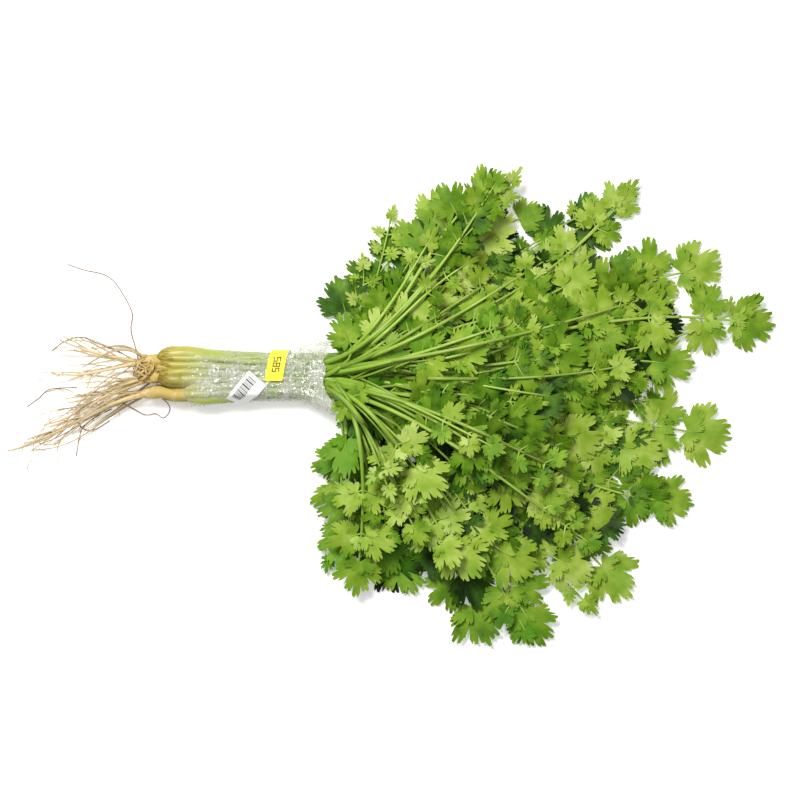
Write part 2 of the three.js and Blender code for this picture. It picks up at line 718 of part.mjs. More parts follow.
// The label is a rectangle that lies askew: each rung is where it crosses that length round the film.
function labelRungs({ bends }) {
  const turn = LABEL_TURN * DEGREE;
  const corner = (a, b) => new THREE.Vector2((a * LABEL_LENGTH) / 2, (b * LABEL_WIDTH) / 2)
    .rotateAround(new THREE.Vector2(), turn)
    .add(new THREE.Vector2(...LABEL_CENTRE));
  const corners = [corner(-1, -1), corner(1, -1), corner(1, 1), corner(-1, 1)];
  const ends = corners.map((c) => c.y);
  const [low, high] = [Math.min(...ends) + LABEL_CORNER_TRIM, Math.max(...ends) - LABEL_CORNER_TRIM];
  const inside = [...bends, ...ends].filter((s) => s > low && s < high);
  const lengths = [low, ...inside, high].sort((a, b) => a - b);
  return lengths.map((length) => {
    const crossings = corners.flatMap((a, k) => {
      const b = corners[(k + 1) % corners.length];
      if ((a.y - length) * (b.y - length) > 0 || a.y === b.y) return [];
      return [lerp(a.x, b.x, (length - a.y) / (b.y - a.y))];
    });
    return [length, Math.min(...crossings), Math.max(...crossings)];
  });
}

function pieceOf(name, geometry, finish) {
  const material = new THREE.MeshStandardMaterial({ metalness: 0, ...FINISHES[finish] });
  const piece = new THREE.Mesh(geometry, material);
  piece.name = name;
  return piece;
}

// The roots and then the leaves are laid down one by one, each on what already lies there. Nothing hangs
// down into the sleeve, which counts as filled up to the top of the stickers.
function buildBunch() {
  const bunch = new THREE.Group();
  const heap = new Heap();
  const walk = filmWalk();
  const sleeveTop = walk.at(0).z + GAP + STICKER_THICK;
  const sleeveSide = Math.max(...bundleOutline(STALK_R + GAP + FILM_THICK).map((p) => p.y)) + 1;
  const sleeveEndX = FILM_RINGS.at(-1)[0];
  for (let x = FILM_START_X; x < sleeveEndX; x += Heap.CELL) {
    for (let y = -sleeveSide; y < sleeveSide; y += Heap.CELL) heap.fill(x, y, sleeveTop);
  }
  const lay = (name, sheet, finish) => {
    sheet.lift(heap);
    sheet.stamp(heap);
    bunch.add(pieceOf(name, sheet.geometry(), finish));
  };
  const random = randomFrom(SEED);
  for (const plant of PLANTS) lay(`root_${plant.name}`, rootSheet(plant, random), "root");
  let number = 0;
  for (const [row, leaves] of LEAVES.entries()) {
    for (const [place, leaf] of leaves.entries()) {
      number += 1;
      const sheet = leafSheet(row, place, leaf, randomFrom(SEED + number));
      lay(`leaf_${String(number).padStart(2, "0")}`, sheet, "leaf");
    }
  }
  bunch.add(pieceOf("film_sleeve", filmGeometry(), "film"));
  bunch.add(pieceOf("date_tape", stickerGeometry(tapeRungs(walk), walk), "tape"));
  bunch.add(pieceOf("price_label", stickerGeometry(labelRungs(walk), walk), "label"));
  return bunch;
}

export default buildBunch();
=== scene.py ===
# A bunch of fresh coriander, pulled with its roots and lying on a white table: six small plants side by side,
# their leaf stalks held by a wrap of clear film with a yellow date tape and a white price label on it.
# Metres, in the frame of the CAD: +X from the roots to the leaves, +Z up, the origin on the table under the
# film. The sections give sizes and places in millimetres and turn them into metres with MM.
from math import atan2, cos, dist, exp, hypot, pi, radians, sin, sqrt

import bpy
import numpy as np
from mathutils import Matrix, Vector, noise
from mathutils.bvhtree import BVHTree


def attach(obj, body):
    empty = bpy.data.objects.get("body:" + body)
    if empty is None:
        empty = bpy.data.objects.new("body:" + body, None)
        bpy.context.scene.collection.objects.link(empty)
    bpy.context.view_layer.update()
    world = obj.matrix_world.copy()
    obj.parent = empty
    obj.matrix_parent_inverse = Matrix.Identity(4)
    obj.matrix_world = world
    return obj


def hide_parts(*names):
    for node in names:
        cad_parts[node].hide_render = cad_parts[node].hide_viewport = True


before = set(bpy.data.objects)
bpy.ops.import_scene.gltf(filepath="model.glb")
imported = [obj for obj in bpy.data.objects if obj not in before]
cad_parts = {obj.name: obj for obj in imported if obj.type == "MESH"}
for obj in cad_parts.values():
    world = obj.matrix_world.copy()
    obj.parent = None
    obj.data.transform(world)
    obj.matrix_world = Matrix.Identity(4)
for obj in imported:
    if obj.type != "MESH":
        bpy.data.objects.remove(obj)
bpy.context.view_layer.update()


# ---- Leaves.
# A coriander leaf is one piece from its sheath to its tips: a juicy round stalk that the bunch holds straight
# and that bends out beyond it, and thin fan-shaped leaflets, each cut into three lobes with blunt teeth.
# The leaves lie in six rows in the film. Each is given by where its end leaflet starts, how far the end of
# its stalk turns in degrees, its pairs of side leaflets and its size, as in the CAD.
MM = 0.001
SEED = 20417
STALK_R = 1.45
STALK_PITCH = 3.15
ROW_COUNTS = [5, 6, 7, 8, 7, 6]
ROW_RISE = STALK_PITCH * sqrt(3) / 2
FIRST_ROW_Z = 2.35
EXIT_X = 40
SPLAY_X = 46
R_AT_LEAF = 1.0
R_AT_TIP = 0.6
CROWNS_WIDER = 0.22
CROWNS_HIGHER = 0.45
WIDENS_FROM_X = 8
WIDENS_OVER = 50
STATION_SPACING = 26
PAIR_SPACING = 26
END_SPACING = 15
PAIR_WIDTH = 1.5
SIDE_LEAF_ANGLE = 67
END_REACH = 21
SIDE_REACH = 17.5
HOLD = (0.36, 0.22)
FIRST_TURN = 0.3
BLADE_START = 3.5
BLADE_CENTRE = 0.22
BLADE_HALF = 0.36
END_TEETH = [(-80, 0.66), (-54, 0.9), (-17, 0.94), (0, 1.02), (17, 0.94), (54, 0.9), (80, 0.66)]
END_NOTCHES = [0.7, 0.46, 0.84, 0.84, 0.46, 0.7]
SIDE_TEETH = [(-66, 0.66), (-42, 0.9), (0, 1.02), (42, 0.9), (66, 0.66)]
SIDE_NOTCHES = [0.7, 0.48, 0.48, 0.7]
LEAVES = [
    [(73, 60, 20, 1, 0.85), (172, 78, -8, 3, 1.0), (231, -29, 0, 3, 1.1), (186, -100, -12, 3, 1.05),
     (77, -97, 12, 2, 0.95)],
    [(51, 32, 30, 0, 0.9), (192, 88, 20, 2, 0.8), (228, 55, -4, 3, 1.1), (215, -66, 14, 3, 1.0),
     (117, -121, -6, 2, 1.05), (47, -56, -6, 1, 0.9)],
    [(96, 80, 10, 1, 0.9), (196, 35, 6, 3, 1.05), (212, 8, -6, 3, 1.0), (196, -38, 4, 2, 1.0),
     (162, -97, 8, 3, 1.0), (145, -125, -8, 3, 1.0), (50, -80, -10, 2, 0.9)],
    [(122, 70, 4, 2, 0.95), (164, 46, 10, 2, 1.0), (256, 30, -14, 3, 1.1), (183, -4, 4, 3, 1.05),
     (164, -31, -6, 2, 1.0), (175, -68, -6, 3, 1.0), (132, -92, 6, 2, 1.0), (51, -31, -14, 0, 0.9)],
    [(104, 48, 16, 2, 0.95), (132, 31, -8, 2, 1.0), (154, 10, 8, 2, 1.0), (134, -22, -8, 2, 1.05),
     (148, -60, 6, 2, 0.95), (106, -88, 4, 2, 1.0), (58, -96, -14, 2, 0.9)],
    [(120, 94, -14, 2, 0.95), (80, 26, 12, 1, 0.95), (104, 12, -6, 1, 0.95), (100, -20, 4, 1, 0.95),
     (128, -42, -8, 2, 1.0), (86, -46, -6, 1, 0.9)],
]

# The six plants of the bunch: name, crown's y and z, half its width, the taproot's end in plan, how far it
# bows and how long its side roots are.
PLANTS = [
    ("low_left", 7.4, 5.0, 3.2, (-104, 20), 4, 32),
    ("low_middle", 0, 5.0, 3.2, (-100, -14), 3, 26),
    ("low_right", -7.4, 5.0, 3.2, (-132, -40), 5, 34),
    ("high_left", 8.4, 13.2, 3.7, (-108, 2), 7, 34),
    ("high_middle", 0, 13.2, 3.7, (-112, -26), 5, 34),
    ("high_right", -8.4, 13.2, 3.7, (-122, -36), 4, 34),
]


def lerp(a, b, t):
    return a + (b - a) * t


def smooth(t):
    t = min(1.0, max(0.0, t))
    return t * t * (3 - 2 * t)


def random_from(seed):
    """A small seeded source of numbers, the same as the CAD's: between two bounds, or from 0 to 1."""
    state = seed

    def draw(low=0.0, high=1.0):
        nonlocal state
        state = (state * 1664525 + 1013904223) % 2**32
        return lerp(low, high, state / 2**32)

    return draw


def beside(foot, heading, along, across=0.0):
    """The place in plan that far along and across from a foot with that heading."""
    c, s = cos(heading), sin(heading)
    return foot[0] + c * along - s * across, foot[1] + s * along + c * across


def cross(reach):
    """A place and the four round it."""
    return (0, 0), (reach, 0), (-reach, 0), (0, reach), (0, -reach)


def spread_out(x, y, z):
    """The bundle widens towards the crowns, where the stalks' sheaths need more room."""
    wider = CROWNS_WIDER * smooth((WIDENS_FROM_X - x) / WIDENS_OVER)
    return y * (1 + wider), z * (1 + CROWNS_HIGHER * wider)


class Way:
    """A cubic curve in plan, walked by length."""

    STEPS = 200

    def __init__(self, *corners):
        p = np.array(corners, float)
        t = np.linspace(0, 1, self.STEPS + 1)[:, None]
        u = 1 - t
        self.points = u**3 * p[0] + 3 * u**2 * t * p[1] + 3 * u * t**2 * p[2] + t**3 * p[3]
        pieces = np.linalg.norm(np.diff(self.points, axis=0), axis=1)
        self.lengths = np.concatenate([[0], np.cumsum(pieces)])
        self.length = self.lengths[-1]

    def at(self, distance):
        return [float(np.interp(distance, self.lengths, self.points[:, k])) for k in (0, 1)]

    def heading(self, distance):
        near, far = self.at(max(0, distance - 0.5)), self.at(min(self.length, distance + 0.5))
        return atan2(far[1] - near[1], far[0] - near[0])


def stalk_way(start, end, turn):
    """The way of a stalk: nearly straight out of the bundle, then in one bend to its end."""
    aim = atan2(end[1] - start[1], end[0] - start[0])
    hold = dist(start, end) * lerp(*HOLD, min(1, abs(aim) / (pi / 2)))
    return Way(start, beside(start, aim * FIRST_TURN, hold), beside(end, aim + radians(turn), -hold), end)


class Surface:
    """The upper surface of a CAD node, read by looking down on it."""

    ABOVE = 0.3
    NEAR = 0.03

    def __init__(self, node):
        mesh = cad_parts[node].data
        self.tree = BVHTree.FromPolygons([v.co for v in mesh.vertices], [p.vertices for p in mesh.polygons])

    def height(self, x, y):
        """Its height at a place in millimetres, or None beside it."""
        found = []
        for dx, dy in cross(self.NEAR):
            start = Vector(((x + dx) * MM, (y + dy) * MM, self.ABOVE))
            hit = self.tree.ray_cast(start, Vector((0, 0, -1)))
            if hit[0] is not None:
                found.append(hit[0].z / MM)
        return max(found) if found else None

    def middles(self, way, distances, radius):
        """The heights of a strand's middle along its way, where this surface is its upper side."""
        heights = []
        for d in distances:
            top = self.height(*way.at(min(d, way.length - 0.05)))
            heights.append(heights[-1] if top is None else top - radius(d))
        return heights


def smooth_through(distances, values, at):
    """A smooth line through values at rising distances, read at other distances."""
    d, v = np.array(distances, float), np.array(values, float)
    slopes = np.gradient(v, d)
    k = np.clip(np.searchsorted(d, at) - 1, 0, len(d) - 2)
    span = d[k + 1] - d[k]
    t = (np.array(at) - d[k]) / span
    a, b = slopes[k] * span, slopes[k + 1] * span
    return ((2 * t**3 - 3 * t**2 + 1) * v[k] + (t**3 - 2 * t**2 + t) * a
            + (3 * t**2 - 2 * t**3) * v[k + 1] + (t**3 - t**2) * b)


def smooth_line(distances, knots, at):
    """Knots of several numbers each, joined smoothly and read at other distances."""
    columns = [smooth_through(distances, column, at) for column in zip(*knots)]
    return [[float(value) for value in row] for row in zip(*columns)]


def feed(made, **inputs):
    """Feeds a node's inputs, each by its name with _ for a space, or by number: a value, a socket, or a node,
    which stands for its first output."""
    for key, value in inputs.items():
        socket = made.inputs[int(key[1:]) if key[1:].isdigit() else key.replace("_", " ")]
        if isinstance(value, bpy.types.Node):
            value = value.outputs[0]
        if isinstance(value, bpy.types.NodeSocket):
            made.id_data.links.new(value, socket)
        else:
            socket.default_value = value
    return made


def node(tree, kind, **words):
    """Adds a node, a shader's unless its kind says otherwise. Its lower-case settings come first."""
    known = kind.startswith(("GeometryNode", "FunctionNode", "NodeGroup"))
    made = tree.nodes.new(kind if known else "ShaderNode" + kind)
    settings = [key for key in words if key[0].islower() and not key[1:].isdigit()]
    for key in settings:
        setattr(made, key, words.pop(key))
    return feed(made, **words)


def hex_colour(code):
    """An sRGB colour such as 0x76a42c, as linear RGBA."""
    parts = [((code >> shift) & 255) / 255 for shift in (16, 8, 0)]
    return [c / 12.92 if c <= 0.04045 else ((c + 0.055) / 1.055) ** 2.4 for c in parts] + [1.0]


def set_stops(ramp, stops):
    """Gives a colour ramp its stops, as (place, colour)."""
    elements = ramp.color_ramp.elements
    while len(elements) < len(stops):
        elements.new(0.5)
    for element, (at, code) in zip(elements, stops):
        element.position = at
        element.color = hex_colour(code)


def finish(name, **inputs):
    """A new material, its tree and its Principled node, with that node's constant inputs."""
    material = bpy.data.materials.new(name)
    material.use_nodes = True
    return material, material.node_tree, feed(material.node_tree.nodes["Principled BSDF"], **inputs)


def linked(name, data):
    """A new object of the scene."""
    made = bpy.data.objects.new(name, data)
    bpy.context.scene.collection.objects.link(made)
    return made


def mesh_object(name, points, faces, material):
    mesh = bpy.data.meshes.new(name)
    mesh.from_pydata(points, [], faces)
    mesh.materials.append(material)
    return linked(name, mesh)


# The tree that turns curves into round stalks and roots, each as thick as its curve says.
strands = bpy.data.node_groups.new("Stalks and roots along their ways", "GeometryNodeTree")
sockets = strands.interface
sockets.new_socket("Curves", in_out="INPUT", socket_type="NodeSocketGeometry")
sockets.new_socket("Mesh", in_out="OUTPUT", socket_type="NodeSocketGeometry")
STRAND_INPUTS = {}
for label, kind in (("Sides", "Int"), ("Unevenness", "Float"), ("Lump size", "Float"),
                    ("Finish", "Material")):
    socket = sockets.new_socket(label, in_out="INPUT", socket_type="NodeSocket" + kind)
    STRAND_INPUTS[label] = socket.identifier
given = node(strands, "NodeGroupInput")
along = node(strands, "GeometryNodeSplineParameter")
placed = node(strands, "GeometryNodeStoreNamedAttribute", data_type="FLOAT", domain="POINT",
              Geometry=given.outputs["Curves"], Name="along", Value=along)
drawn = node(strands, "FunctionNodeRandomValue", data_type="FLOAT", Seed=4)
each = node(strands, "GeometryNodeFieldOnDomain", data_type="FLOAT", domain="CURVE", Value=drawn.outputs[1])
marked = node(strands, "GeometryNodeStoreNamedAttribute", data_type="FLOAT", domain="POINT",
              Geometry=placed, Name="own_shade", Value=each)
profile = node(strands, "GeometryNodeCurvePrimitiveCircle", Resolution=given.outputs["Sides"], Radius=1.0)
radius = node(strands, "GeometryNodeInputRadius")
tube = node(strands, "GeometryNodeCurveToMesh", Curve=marked, Profile_Curve=profile, Scale=radius,
            Fill_Caps=True)
size = node(strands, "Math", operation="DIVIDE", i0=1.0, i1=given.outputs["Lump size"])
lumps = node(strands, "TexNoise", Scale=size, Detail=2.0)
centred = node(strands, "Math", operation="SUBTRACT", i0=lumps, i1=0.5)
amount = node(strands, "Math", operation="MULTIPLY", i0=centred, i1=given.outputs["Unevenness"])
outward = node(strands, "GeometryNodeInputNormal")
offset = node(strands, "VectorMath", operation="SCALE", i0=outward.outputs["Normal"], Scale=amount)
moved = node(strands, "GeometryNodeSetPosition", Geometry=tube, Offset=offset)
rounded = node(strands, "GeometryNodeSetShadeSmooth", Geometry=moved, Shade_Smooth=True)
real = node(strands, "GeometryNodeRealizeInstances", Geometry=rounded)
finished = node(strands, "GeometryNodeSetMaterial", Geometry=real, Material=given.outputs["Finish"])
node(strands, "NodeGroupOutput", Mesh=finished)


def grow(name, ways, material, sides=8, unevenness=0.0, lump=4.0):
    """A plain mesh object of round strands. A way is a list of (x, y, z, radius) in millimetres."""
    curve = bpy.data.curves.new(name, "CURVE")
    curve.dimensions = "3D"
    for way in ways:
        spline = curve.splines.new("POLY")
        spline.points.add(len(way) - 1)
        way = [(x, y, max(z, r + unevenness / 2), r) for x, y, z, r in way]
        spline.points.foreach_set("co", [c for x, y, z, _ in way for c in (x * MM, y * MM, z * MM, 1.0)])
        spline.points.foreach_set("radius", [r * MM for *_, r in way])
    source = linked(name + "_ways", curve)
    modifier = source.modifiers.new("Strands", "NODES")
    modifier.node_group = strands
    values = {"Sides": sides, "Unevenness": unevenness * MM, "Lump size": lump * MM, "Finish": material}
    for label, value in values.items():
        modifier[STRAND_INPUTS[label]] = value
    evaluated = source.evaluated_get(bpy.context.evaluated_depsgraph_get())
    mesh = bpy.data.meshes.new_from_object(evaluated)
    bpy.data.objects.remove(source)
    mesh.name = name
    return linked(name, mesh)


def join(name, *objects):
    """Joins objects into the first and names it."""
    bpy.ops.object.select_all(action="DESELECT")
    for o in objects:
        o.select_set(True)
    bpy.context.view_layer.objects.active = objects[0]
    bpy.ops.object.join()
    objects[0].name = objects[0].data.name = name
    return objects[0]


# Fresh leaf tissue: a matt, faintly waxy green skin, paler along the veins that fan out from its foot. Its
# tint attribute runs from the dark outer leaves, 0, to the yellow-green young ones, 1; its darkest values are
# also painted shade, given to leaflets that lie low or covered in the heap.
leaflet_green, tree, skin = finish("Fresh coriander leaflet")
tint = node(tree, "Attribute", attribute_name="tint")
place = node(tree, "TexCoord").outputs["Object"]
mottle = node(tree, "TexNoise", Vector=place, Scale=1 / (9 * MM), Detail=3.0)
mottled = node(tree, "MapRange", Value=mottle, From_Min=0.3, From_Max=0.7, To_Min=-0.16, To_Max=0.16)
shade = node(tree, "Math", operation="ADD", i0=tint.outputs["Fac"], i1=mottled)
green = node(tree, "ValToRGB", Fac=shade)
# The darkest stops are painted shade for the leaflets that lie deep in the heap.
GREENS = [(0.0, 0x172D03), (0.22, 0x3C620C), (0.42, 0x668B1B), (0.66, 0x90A93A), (1.0, 0xBCCB78)]
set_stops(green, GREENS)
patches = node(tree, "TexNoise", Vector=place, Scale=1 / (38 * MM), Detail=2.0)
cooler = node(tree, "MapRange", Value=patches, From_Min=0.52, From_Max=0.68, To_Min=0.0, To_Max=0.5)
hued = node(tree, "Mix", data_type="RGBA", i0=cooler, i6=green, i7=hex_colour(0x559018))
fan = node(tree, "UVMap", uv_map="fan")
parts = node(tree, "SeparateXYZ", Vector=fan)
vein_side = node(tree, "Math", operation="PINGPONG", i0=parts.outputs["X"], i1=0.5)
vein_width = node(tree, "Math", operation="MULTIPLY", i0=vein_side, i1=parts.outputs["Y"])
vein = node(tree, "MapRange", interpolation_type="SMOOTHSTEP", Value=vein_width, From_Min=0.01,
            From_Max=0.05, To_Min=0.05, To_Max=0.0)
veined = node(tree, "Mix", data_type="RGBA", i0=vein, i6=hued.outputs[2], i7=hex_colour(0xA9BF62))
feed(skin, Base_Color=veined.outputs[2], Roughness=0.6, IOR=1.33)

# A leaf stalk: smooth, juicy and faintly ribbed, pale yellow where it was under the soil and green above.
# Its ribs are only faint colour streaks along it, partly its own stripes and partly painted highlights.
stalk_green, tree, skin = finish("Fresh coriander stalk")
place = node(tree, "TexCoord").outputs["Object"]
spread = node(tree, "SeparateXYZ", Vector=place)
grown = node(tree, "MapRange", Value=spread.outputs["X"], From_Min=-48 * MM, From_Max=120 * MM)
ribs = node(tree, "Mapping", Vector=place, Scale=(0.12, 1.0, 1.0))
# Streaks along the stalk: partly its own striped colour, partly painted highlights of its ribs.
streaks = node(tree, "TexNoise", Vector=ribs, Scale=1 / (0.9 * MM), Detail=2.0)
rib_tone_and_sheen = node(tree, "MapRange", Value=streaks, From_Min=0.3, From_Max=0.7, To_Min=-0.05, To_Max=0.05)
own = node(tree, "Attribute", attribute_name="own_shade")
shade = node(tree, "Math", operation="ADD", i0=grown, i1=rib_tone_and_sheen)
green = node(tree, "ValToRGB", Fac=shade)
STALK_GREENS = [(0.0, 0x94803E), (0.04, 0xB0A456), (0.12, 0xB0B65E), (0.3, 0x9AAE50), (0.48, 0x8CA846),
                (0.56, 0x88A840), (0.75, 0x98B44C), (1.0, 0xA2BA5A)]
set_stops(green, STALK_GREENS)
apart = node(tree, "MapRange", Value=own.outputs["Fac"], To_Min=0.72, To_Max=1.12)
differing = node(tree, "HueSaturation", Value=apart, Color=green)
feed(skin, Base_Color=differing, Roughness=0.35, IOR=1.4)

# A leaflet has a blunt tooth every TOOTH_TURN degrees round its lobes, smooth edges in its clefts and at its
# wedge-shaped foot, and bands of points out from that foot. A tooth's corners, from its notch on, are
# (share of its width, share of the lobe's length).
TOOTH_TURN = 9.2
TOOTH = [(0.0, 0.89), (0.24, 0.99), (0.72, 1.0)]
TOOTH_UNEVEN = 0.03
DEEPER_NOTCH = 0.13
CLEFT = 3.4
CLEFT_SMOOTH = 1.6
WEDGE_DEGREES = 16
WEDGE_REACH = 0.5
BANDS = [0.35, 0.72, 1.0]
SMALL_BANDS = [0.5, 1.0]
ONE_BAND = [1.0]
LOBE_DEGREES = 56.0

# Two small lobes stand free at the foot of each leaflet: the places of their own teeth and clefts.
SMALL_FOOT = 2.6
SMALL_LOBES = [(-46, 0.7), (-24, 0.52), (0, 1.0), (24, 0.52), (46, 0.7)]
BLADE_THICK = 0.3
TABLE_CLEAR = 0.05


class Blades:
    """The leaflets of one leaf, collected into one mesh of thin closed fans."""

    def __init__(self):
        self.points, self.faces, self.soft, self.fans, self.tints = [], [], [], [], []

    def add(self, foot, heading, height, rim, tint, shape, start_at=BLADE_START, bands=BANDS):
        """foot and heading in plan, height(along, across) of the blade, rim as (degrees, distance)."""
        longest = max(distance for _, distance in rim)
        start = len(self.points)
        rows = [(0.0, [(0.0, 0.0)])] + [(share, [(d, r * share) for d, r in rim]) for share in bands]
        for side in (0.5, -0.5):
            for share, row in rows:
                for degrees, distance in row:
                    a = radians(degrees)
                    along, across = start_at + cos(a) * distance, sin(a) * distance
                    z = height(along, across) + shape(degrees, distance / longest)
                    z = max(z, BLADE_THICK / 2 + TABLE_CLEAR)
                    x, y = beside(foot, heading, along, across)
                    self.points.append((x * MM, y * MM, (z + side * BLADE_THICK) * MM))
                    self.fans.append((degrees / (2 * TOOTH_TURN), share))
                    self.tints.append(tint)
        n = len(rim)
        skin = 1 + n * len(bands)
        last = 1 + n * (len(bands) - 1)
        for under in (0, 1):
            base = start + under * skin
            faces = [(base, base + 1 + k, base + 2 + k) for k in range(n - 1)]
            for band in range(len(bands) - 1):
                a, b = base + 1 + band * n, base + 1 + (band + 1) * n
                faces += [(a + k, b + k, b + k + 1, a + k + 1) for k in range(n - 1)]
            self.faces += [tuple(reversed(f)) for f in faces] if under else faces
            self.soft += [True] * len(faces)
        edge = [0, *(1 + band * n for band in range(len(bands)))]
        edge += [last + k for k in range(1, n)]
        edge += [1 + band * n + n - 1 for band in reversed(range(len(bands) - 1))]
        for a, b in zip(edge, edge[1:] + edge[:1]):
            self.faces.append((start + b, start + a, start + a + skin, start + b + skin))
            self.soft.append(False)

    def made(self, name):
        piece = mesh_object(name, self.points, self.faces, leaflet_green)
        mesh = piece.data
        corners = np.zeros(len(mesh.loops), dtype=np.int32)
        mesh.loops.foreach_get("vertex_index", corners)
        fans = np.array(self.fans, dtype=np.float32)[corners]
        mesh.uv_layers.new(name="fan").data.foreach_set("uv", fans.ravel())
        mesh.attributes.new("tint", "FLOAT", "POINT").data.foreach_set("value", self.tints)
        mesh.polygons.foreach_set("use_smooth", self.soft)
        return piece


def toothed_rim(control, looks):
    """The finer rim over the CAD's corners: toothed lobes, V-shaped clefts and a smooth wedge foot."""
    first, last = control[0], control[-1]
    control = [(first[0] - WEDGE_DEGREES, first[1] * WEDGE_REACH), *control,
               (last[0] + WEDGE_DEGREES, last[1] * WEDGE_REACH)]
    teeth = round((control[-1][0] - control[0][0]) / TOOTH_TURN)
    corners = [(k + place, depth - (DEEPER_NOTCH if k % 2 and place == 0 else 0.0))
               for k in range(teeth) for place, depth in TOOTH] + [(teeth, TOOTH[0][1])]
    rim = []
    for place, depth in corners:  # a corner's share of the whole turn, and how far out it stands
        degrees = lerp(control[0][0], control[-1][0], place / teeth)
        n = max(i for i in range(len(control) - 1) if control[i][0] <= degrees + 1e-6)
        (a, low), (b, high) = control[n], control[n + 1]
        t = (degrees - a) / (b - a)
        from_tooth = (t if low > high else 1 - t) ** CLEFT
        distance = lerp(max(low, high), min(low, high), from_tooth)
        toothed = 1 - from_tooth * (1 - min(low, high) / max(low, high)) * CLEFT_SMOOTH
        depth += looks(-TOOTH_UNEVEN, TOOTH_UNEVEN)
        rim.append((degrees, distance * lerp(1.0, depth, max(0.0, toothed))))
    return rim


def uneven_outline(teeth, notches, reach, random, turn, tooth, notch):
    """A leaflet's corners as (degrees, distance), each turned and each tooth and notch scaled by a draw."""
    control = []
    for k, (degrees, share) in enumerate(teeth):
        control.append((degrees + random(-turn, turn), share * reach * random(*tooth)))
        if k < len(notches):
            control.append(((degrees + teeth[k + 1][0]) / 2, notches[k] * reach * random(*notch)))
    return control


def cad_leaflet(surface, foot, heading, reach, teeth, notches, random, stalk_top):
    """The CAD's leaflet: its teeth and notches from the same draws, and its height read from its surface."""
    random()
    random()
    hollow = random(0.05, 0.15)
    control = uneven_outline(teeth, notches, reach, random, 3, (0.92, 1.05), (0.94, 1.06))
    middle = BLADE_START + BLADE_CENTRE * reach

    def seen(along, across):
        return surface.height(*beside(foot, heading, along, across))

    centre = seen(middle, 0)
    if centre is None:
        centre = stalk_top
    rows, values = [], []
    inside = 0.9
    for degrees, distance in control:
        a = radians(degrees)
        along, across = BLADE_START + cos(a) * distance, sin(a) * distance
        found = seen(lerp(middle, along, inside), across * inside)
        if found is not None:
            rows.append((along - middle, across))
            values.append((found - centre) / inside + hollow * hypot(along - middle, across) ** 2 / reach)
    pitch, roll = np.linalg.lstsq(np.array(rows), np.array(values), rcond=None)[0]

    def height(along, across):
        away = hypot(along - middle, across)
        return centre - BLADE_HALF + pitch * (along - middle) + roll * across - hollow * away**2 / reach

    return control, height


def dress_leaflet(blades, ways, foot, heading, reach, control, height, tint, stalk_top, looks,
                  small_lobes=True, bands=(BANDS, SMALL_BANDS)):
    """A leaflet with its rim, ripples, two small free lobes and its own short stalk."""
    phase, waves = looks(0, 2 * pi), looks(2.2, 4.2)
    wave, fold = reach * looks(0.03, 0.08), reach * looks(-0.03, 0.04)
    curl, curl_side = reach * looks(-0.08, 0.16), looks(-0.5, 0.5)
    lean, lean_side = reach * looks(-0.02, 0.22), looks(-1.2, 1.2)

    def shape(degrees, share):
        turned = radians(degrees)
        rise = wave * sin(waves * turned + phase) * share**2
        rise += fold * share * abs(sin(pi * degrees / LOBE_DEGREES))
        rise += lean * share * (0.5 + 0.5 * sin(turned + lean_side))
        return rise - curl * max(0.0, share - 0.55) ** 2 * 4 * (1 + curl_side * sin(turned))

    blades.add(foot, heading, height, toothed_rim(control, looks), tint, shape, bands=bands[0])

    def flat_lobe(degrees, share):
        return wave * share * sin(2 * radians(degrees) + phase) + 0.1 * reach * share

    for side in (1, -1) if small_lobes else ():
        small = reach * looks(0.42, 0.6)
        away = side * radians(looks(58, 82))
        lobes = [(d + looks(-4, 4), small * share) for d, share in SMALL_LOBES]

        def small_height(along, across, away=away):
            return height(*beside((SMALL_FOOT, 0), away, along, across))

        blades.add(beside(foot, heading, SMALL_FOOT), heading + away, small_height, toothed_rim(lobes, looks),
                   tint + looks(-0.1, 0.15), flat_lobe, start_at=0.4, bands=bands[1])
    inside, tip = BLADE_START + 1, BLADE_START + reach * 0.35
    stalk_base = lerp(stalk_top, height(BLADE_START, 0), 0.6)
    ways.append([(*beside(foot, heading, d), z, r) for d, z, r in (
        (0, stalk_top, 0.6), (BLADE_START * 0.6, stalk_base, 0.5), (inside, height(inside, 0), 0.42),
        (tip, height(tip, 0) + 0.02, 0.16))])


# Towards its foot a stalk widens into a sheath and closes on its plant's crown.
FOOT_X = -48.5
LATER_FOOT_X = -35
SHEATH_TO_X = -6
SHEATH_FULL_X = -34
STALK_STEP = 3.5
CLOSES_BY = 0.42

# Leaves are darker in the lower rows, a painted shade for the rows that lie under the others, and yellower at
# the far end and at the right-hand edge of the heap.
ROW_TONES = (0.34, 0.58)
EDGE_TONE = 0.13


def sheathed(y, z, looks):
    """The straight part of a stalk, from its foot in the crown to where the film lets it go."""
    swell, phase, rise = looks(0.1, 1.0), looks(0, 6.3), looks(0, 6.3)
    shift = looks(-9, 9)
    crown = min(PLANTS, key=lambda p: (p[1] - y) ** 2 + (p[2] - z) ** 2)
    foot_x = LATER_FOOT_X if crown[0] == "high_right" else FOOT_X
    points = []
    for x in np.arange(foot_x + looks(0, 3), EXIT_X - 26, STALK_STEP):
        at_y, at_z = spread_out(x, y, z)
        free = smooth((x + 50) / 20) * smooth((EXIT_X - x) / 20)
        closed = CLOSES_BY * smooth((foot_x + 10 - x) / 11)
        at_y = lerp(at_y + 0.4 * free * sin(x / 8 + phase), crown[1] * 1.2, closed)
        at_z = lerp(at_z + 0.3 * free * sin(x / 6 + rise), crown[2] * 1.1, closed)
        sheath = smooth((SHEATH_TO_X + shift - x) / (SHEATH_TO_X - SHEATH_FULL_X))
        r = STALK_R * (1 + swell * sheath) * lerp(1.0, 0.5, smooth((foot_x + 5 - x) / 6))
        points.append((x, at_y, max(at_z, r), r))
    return points


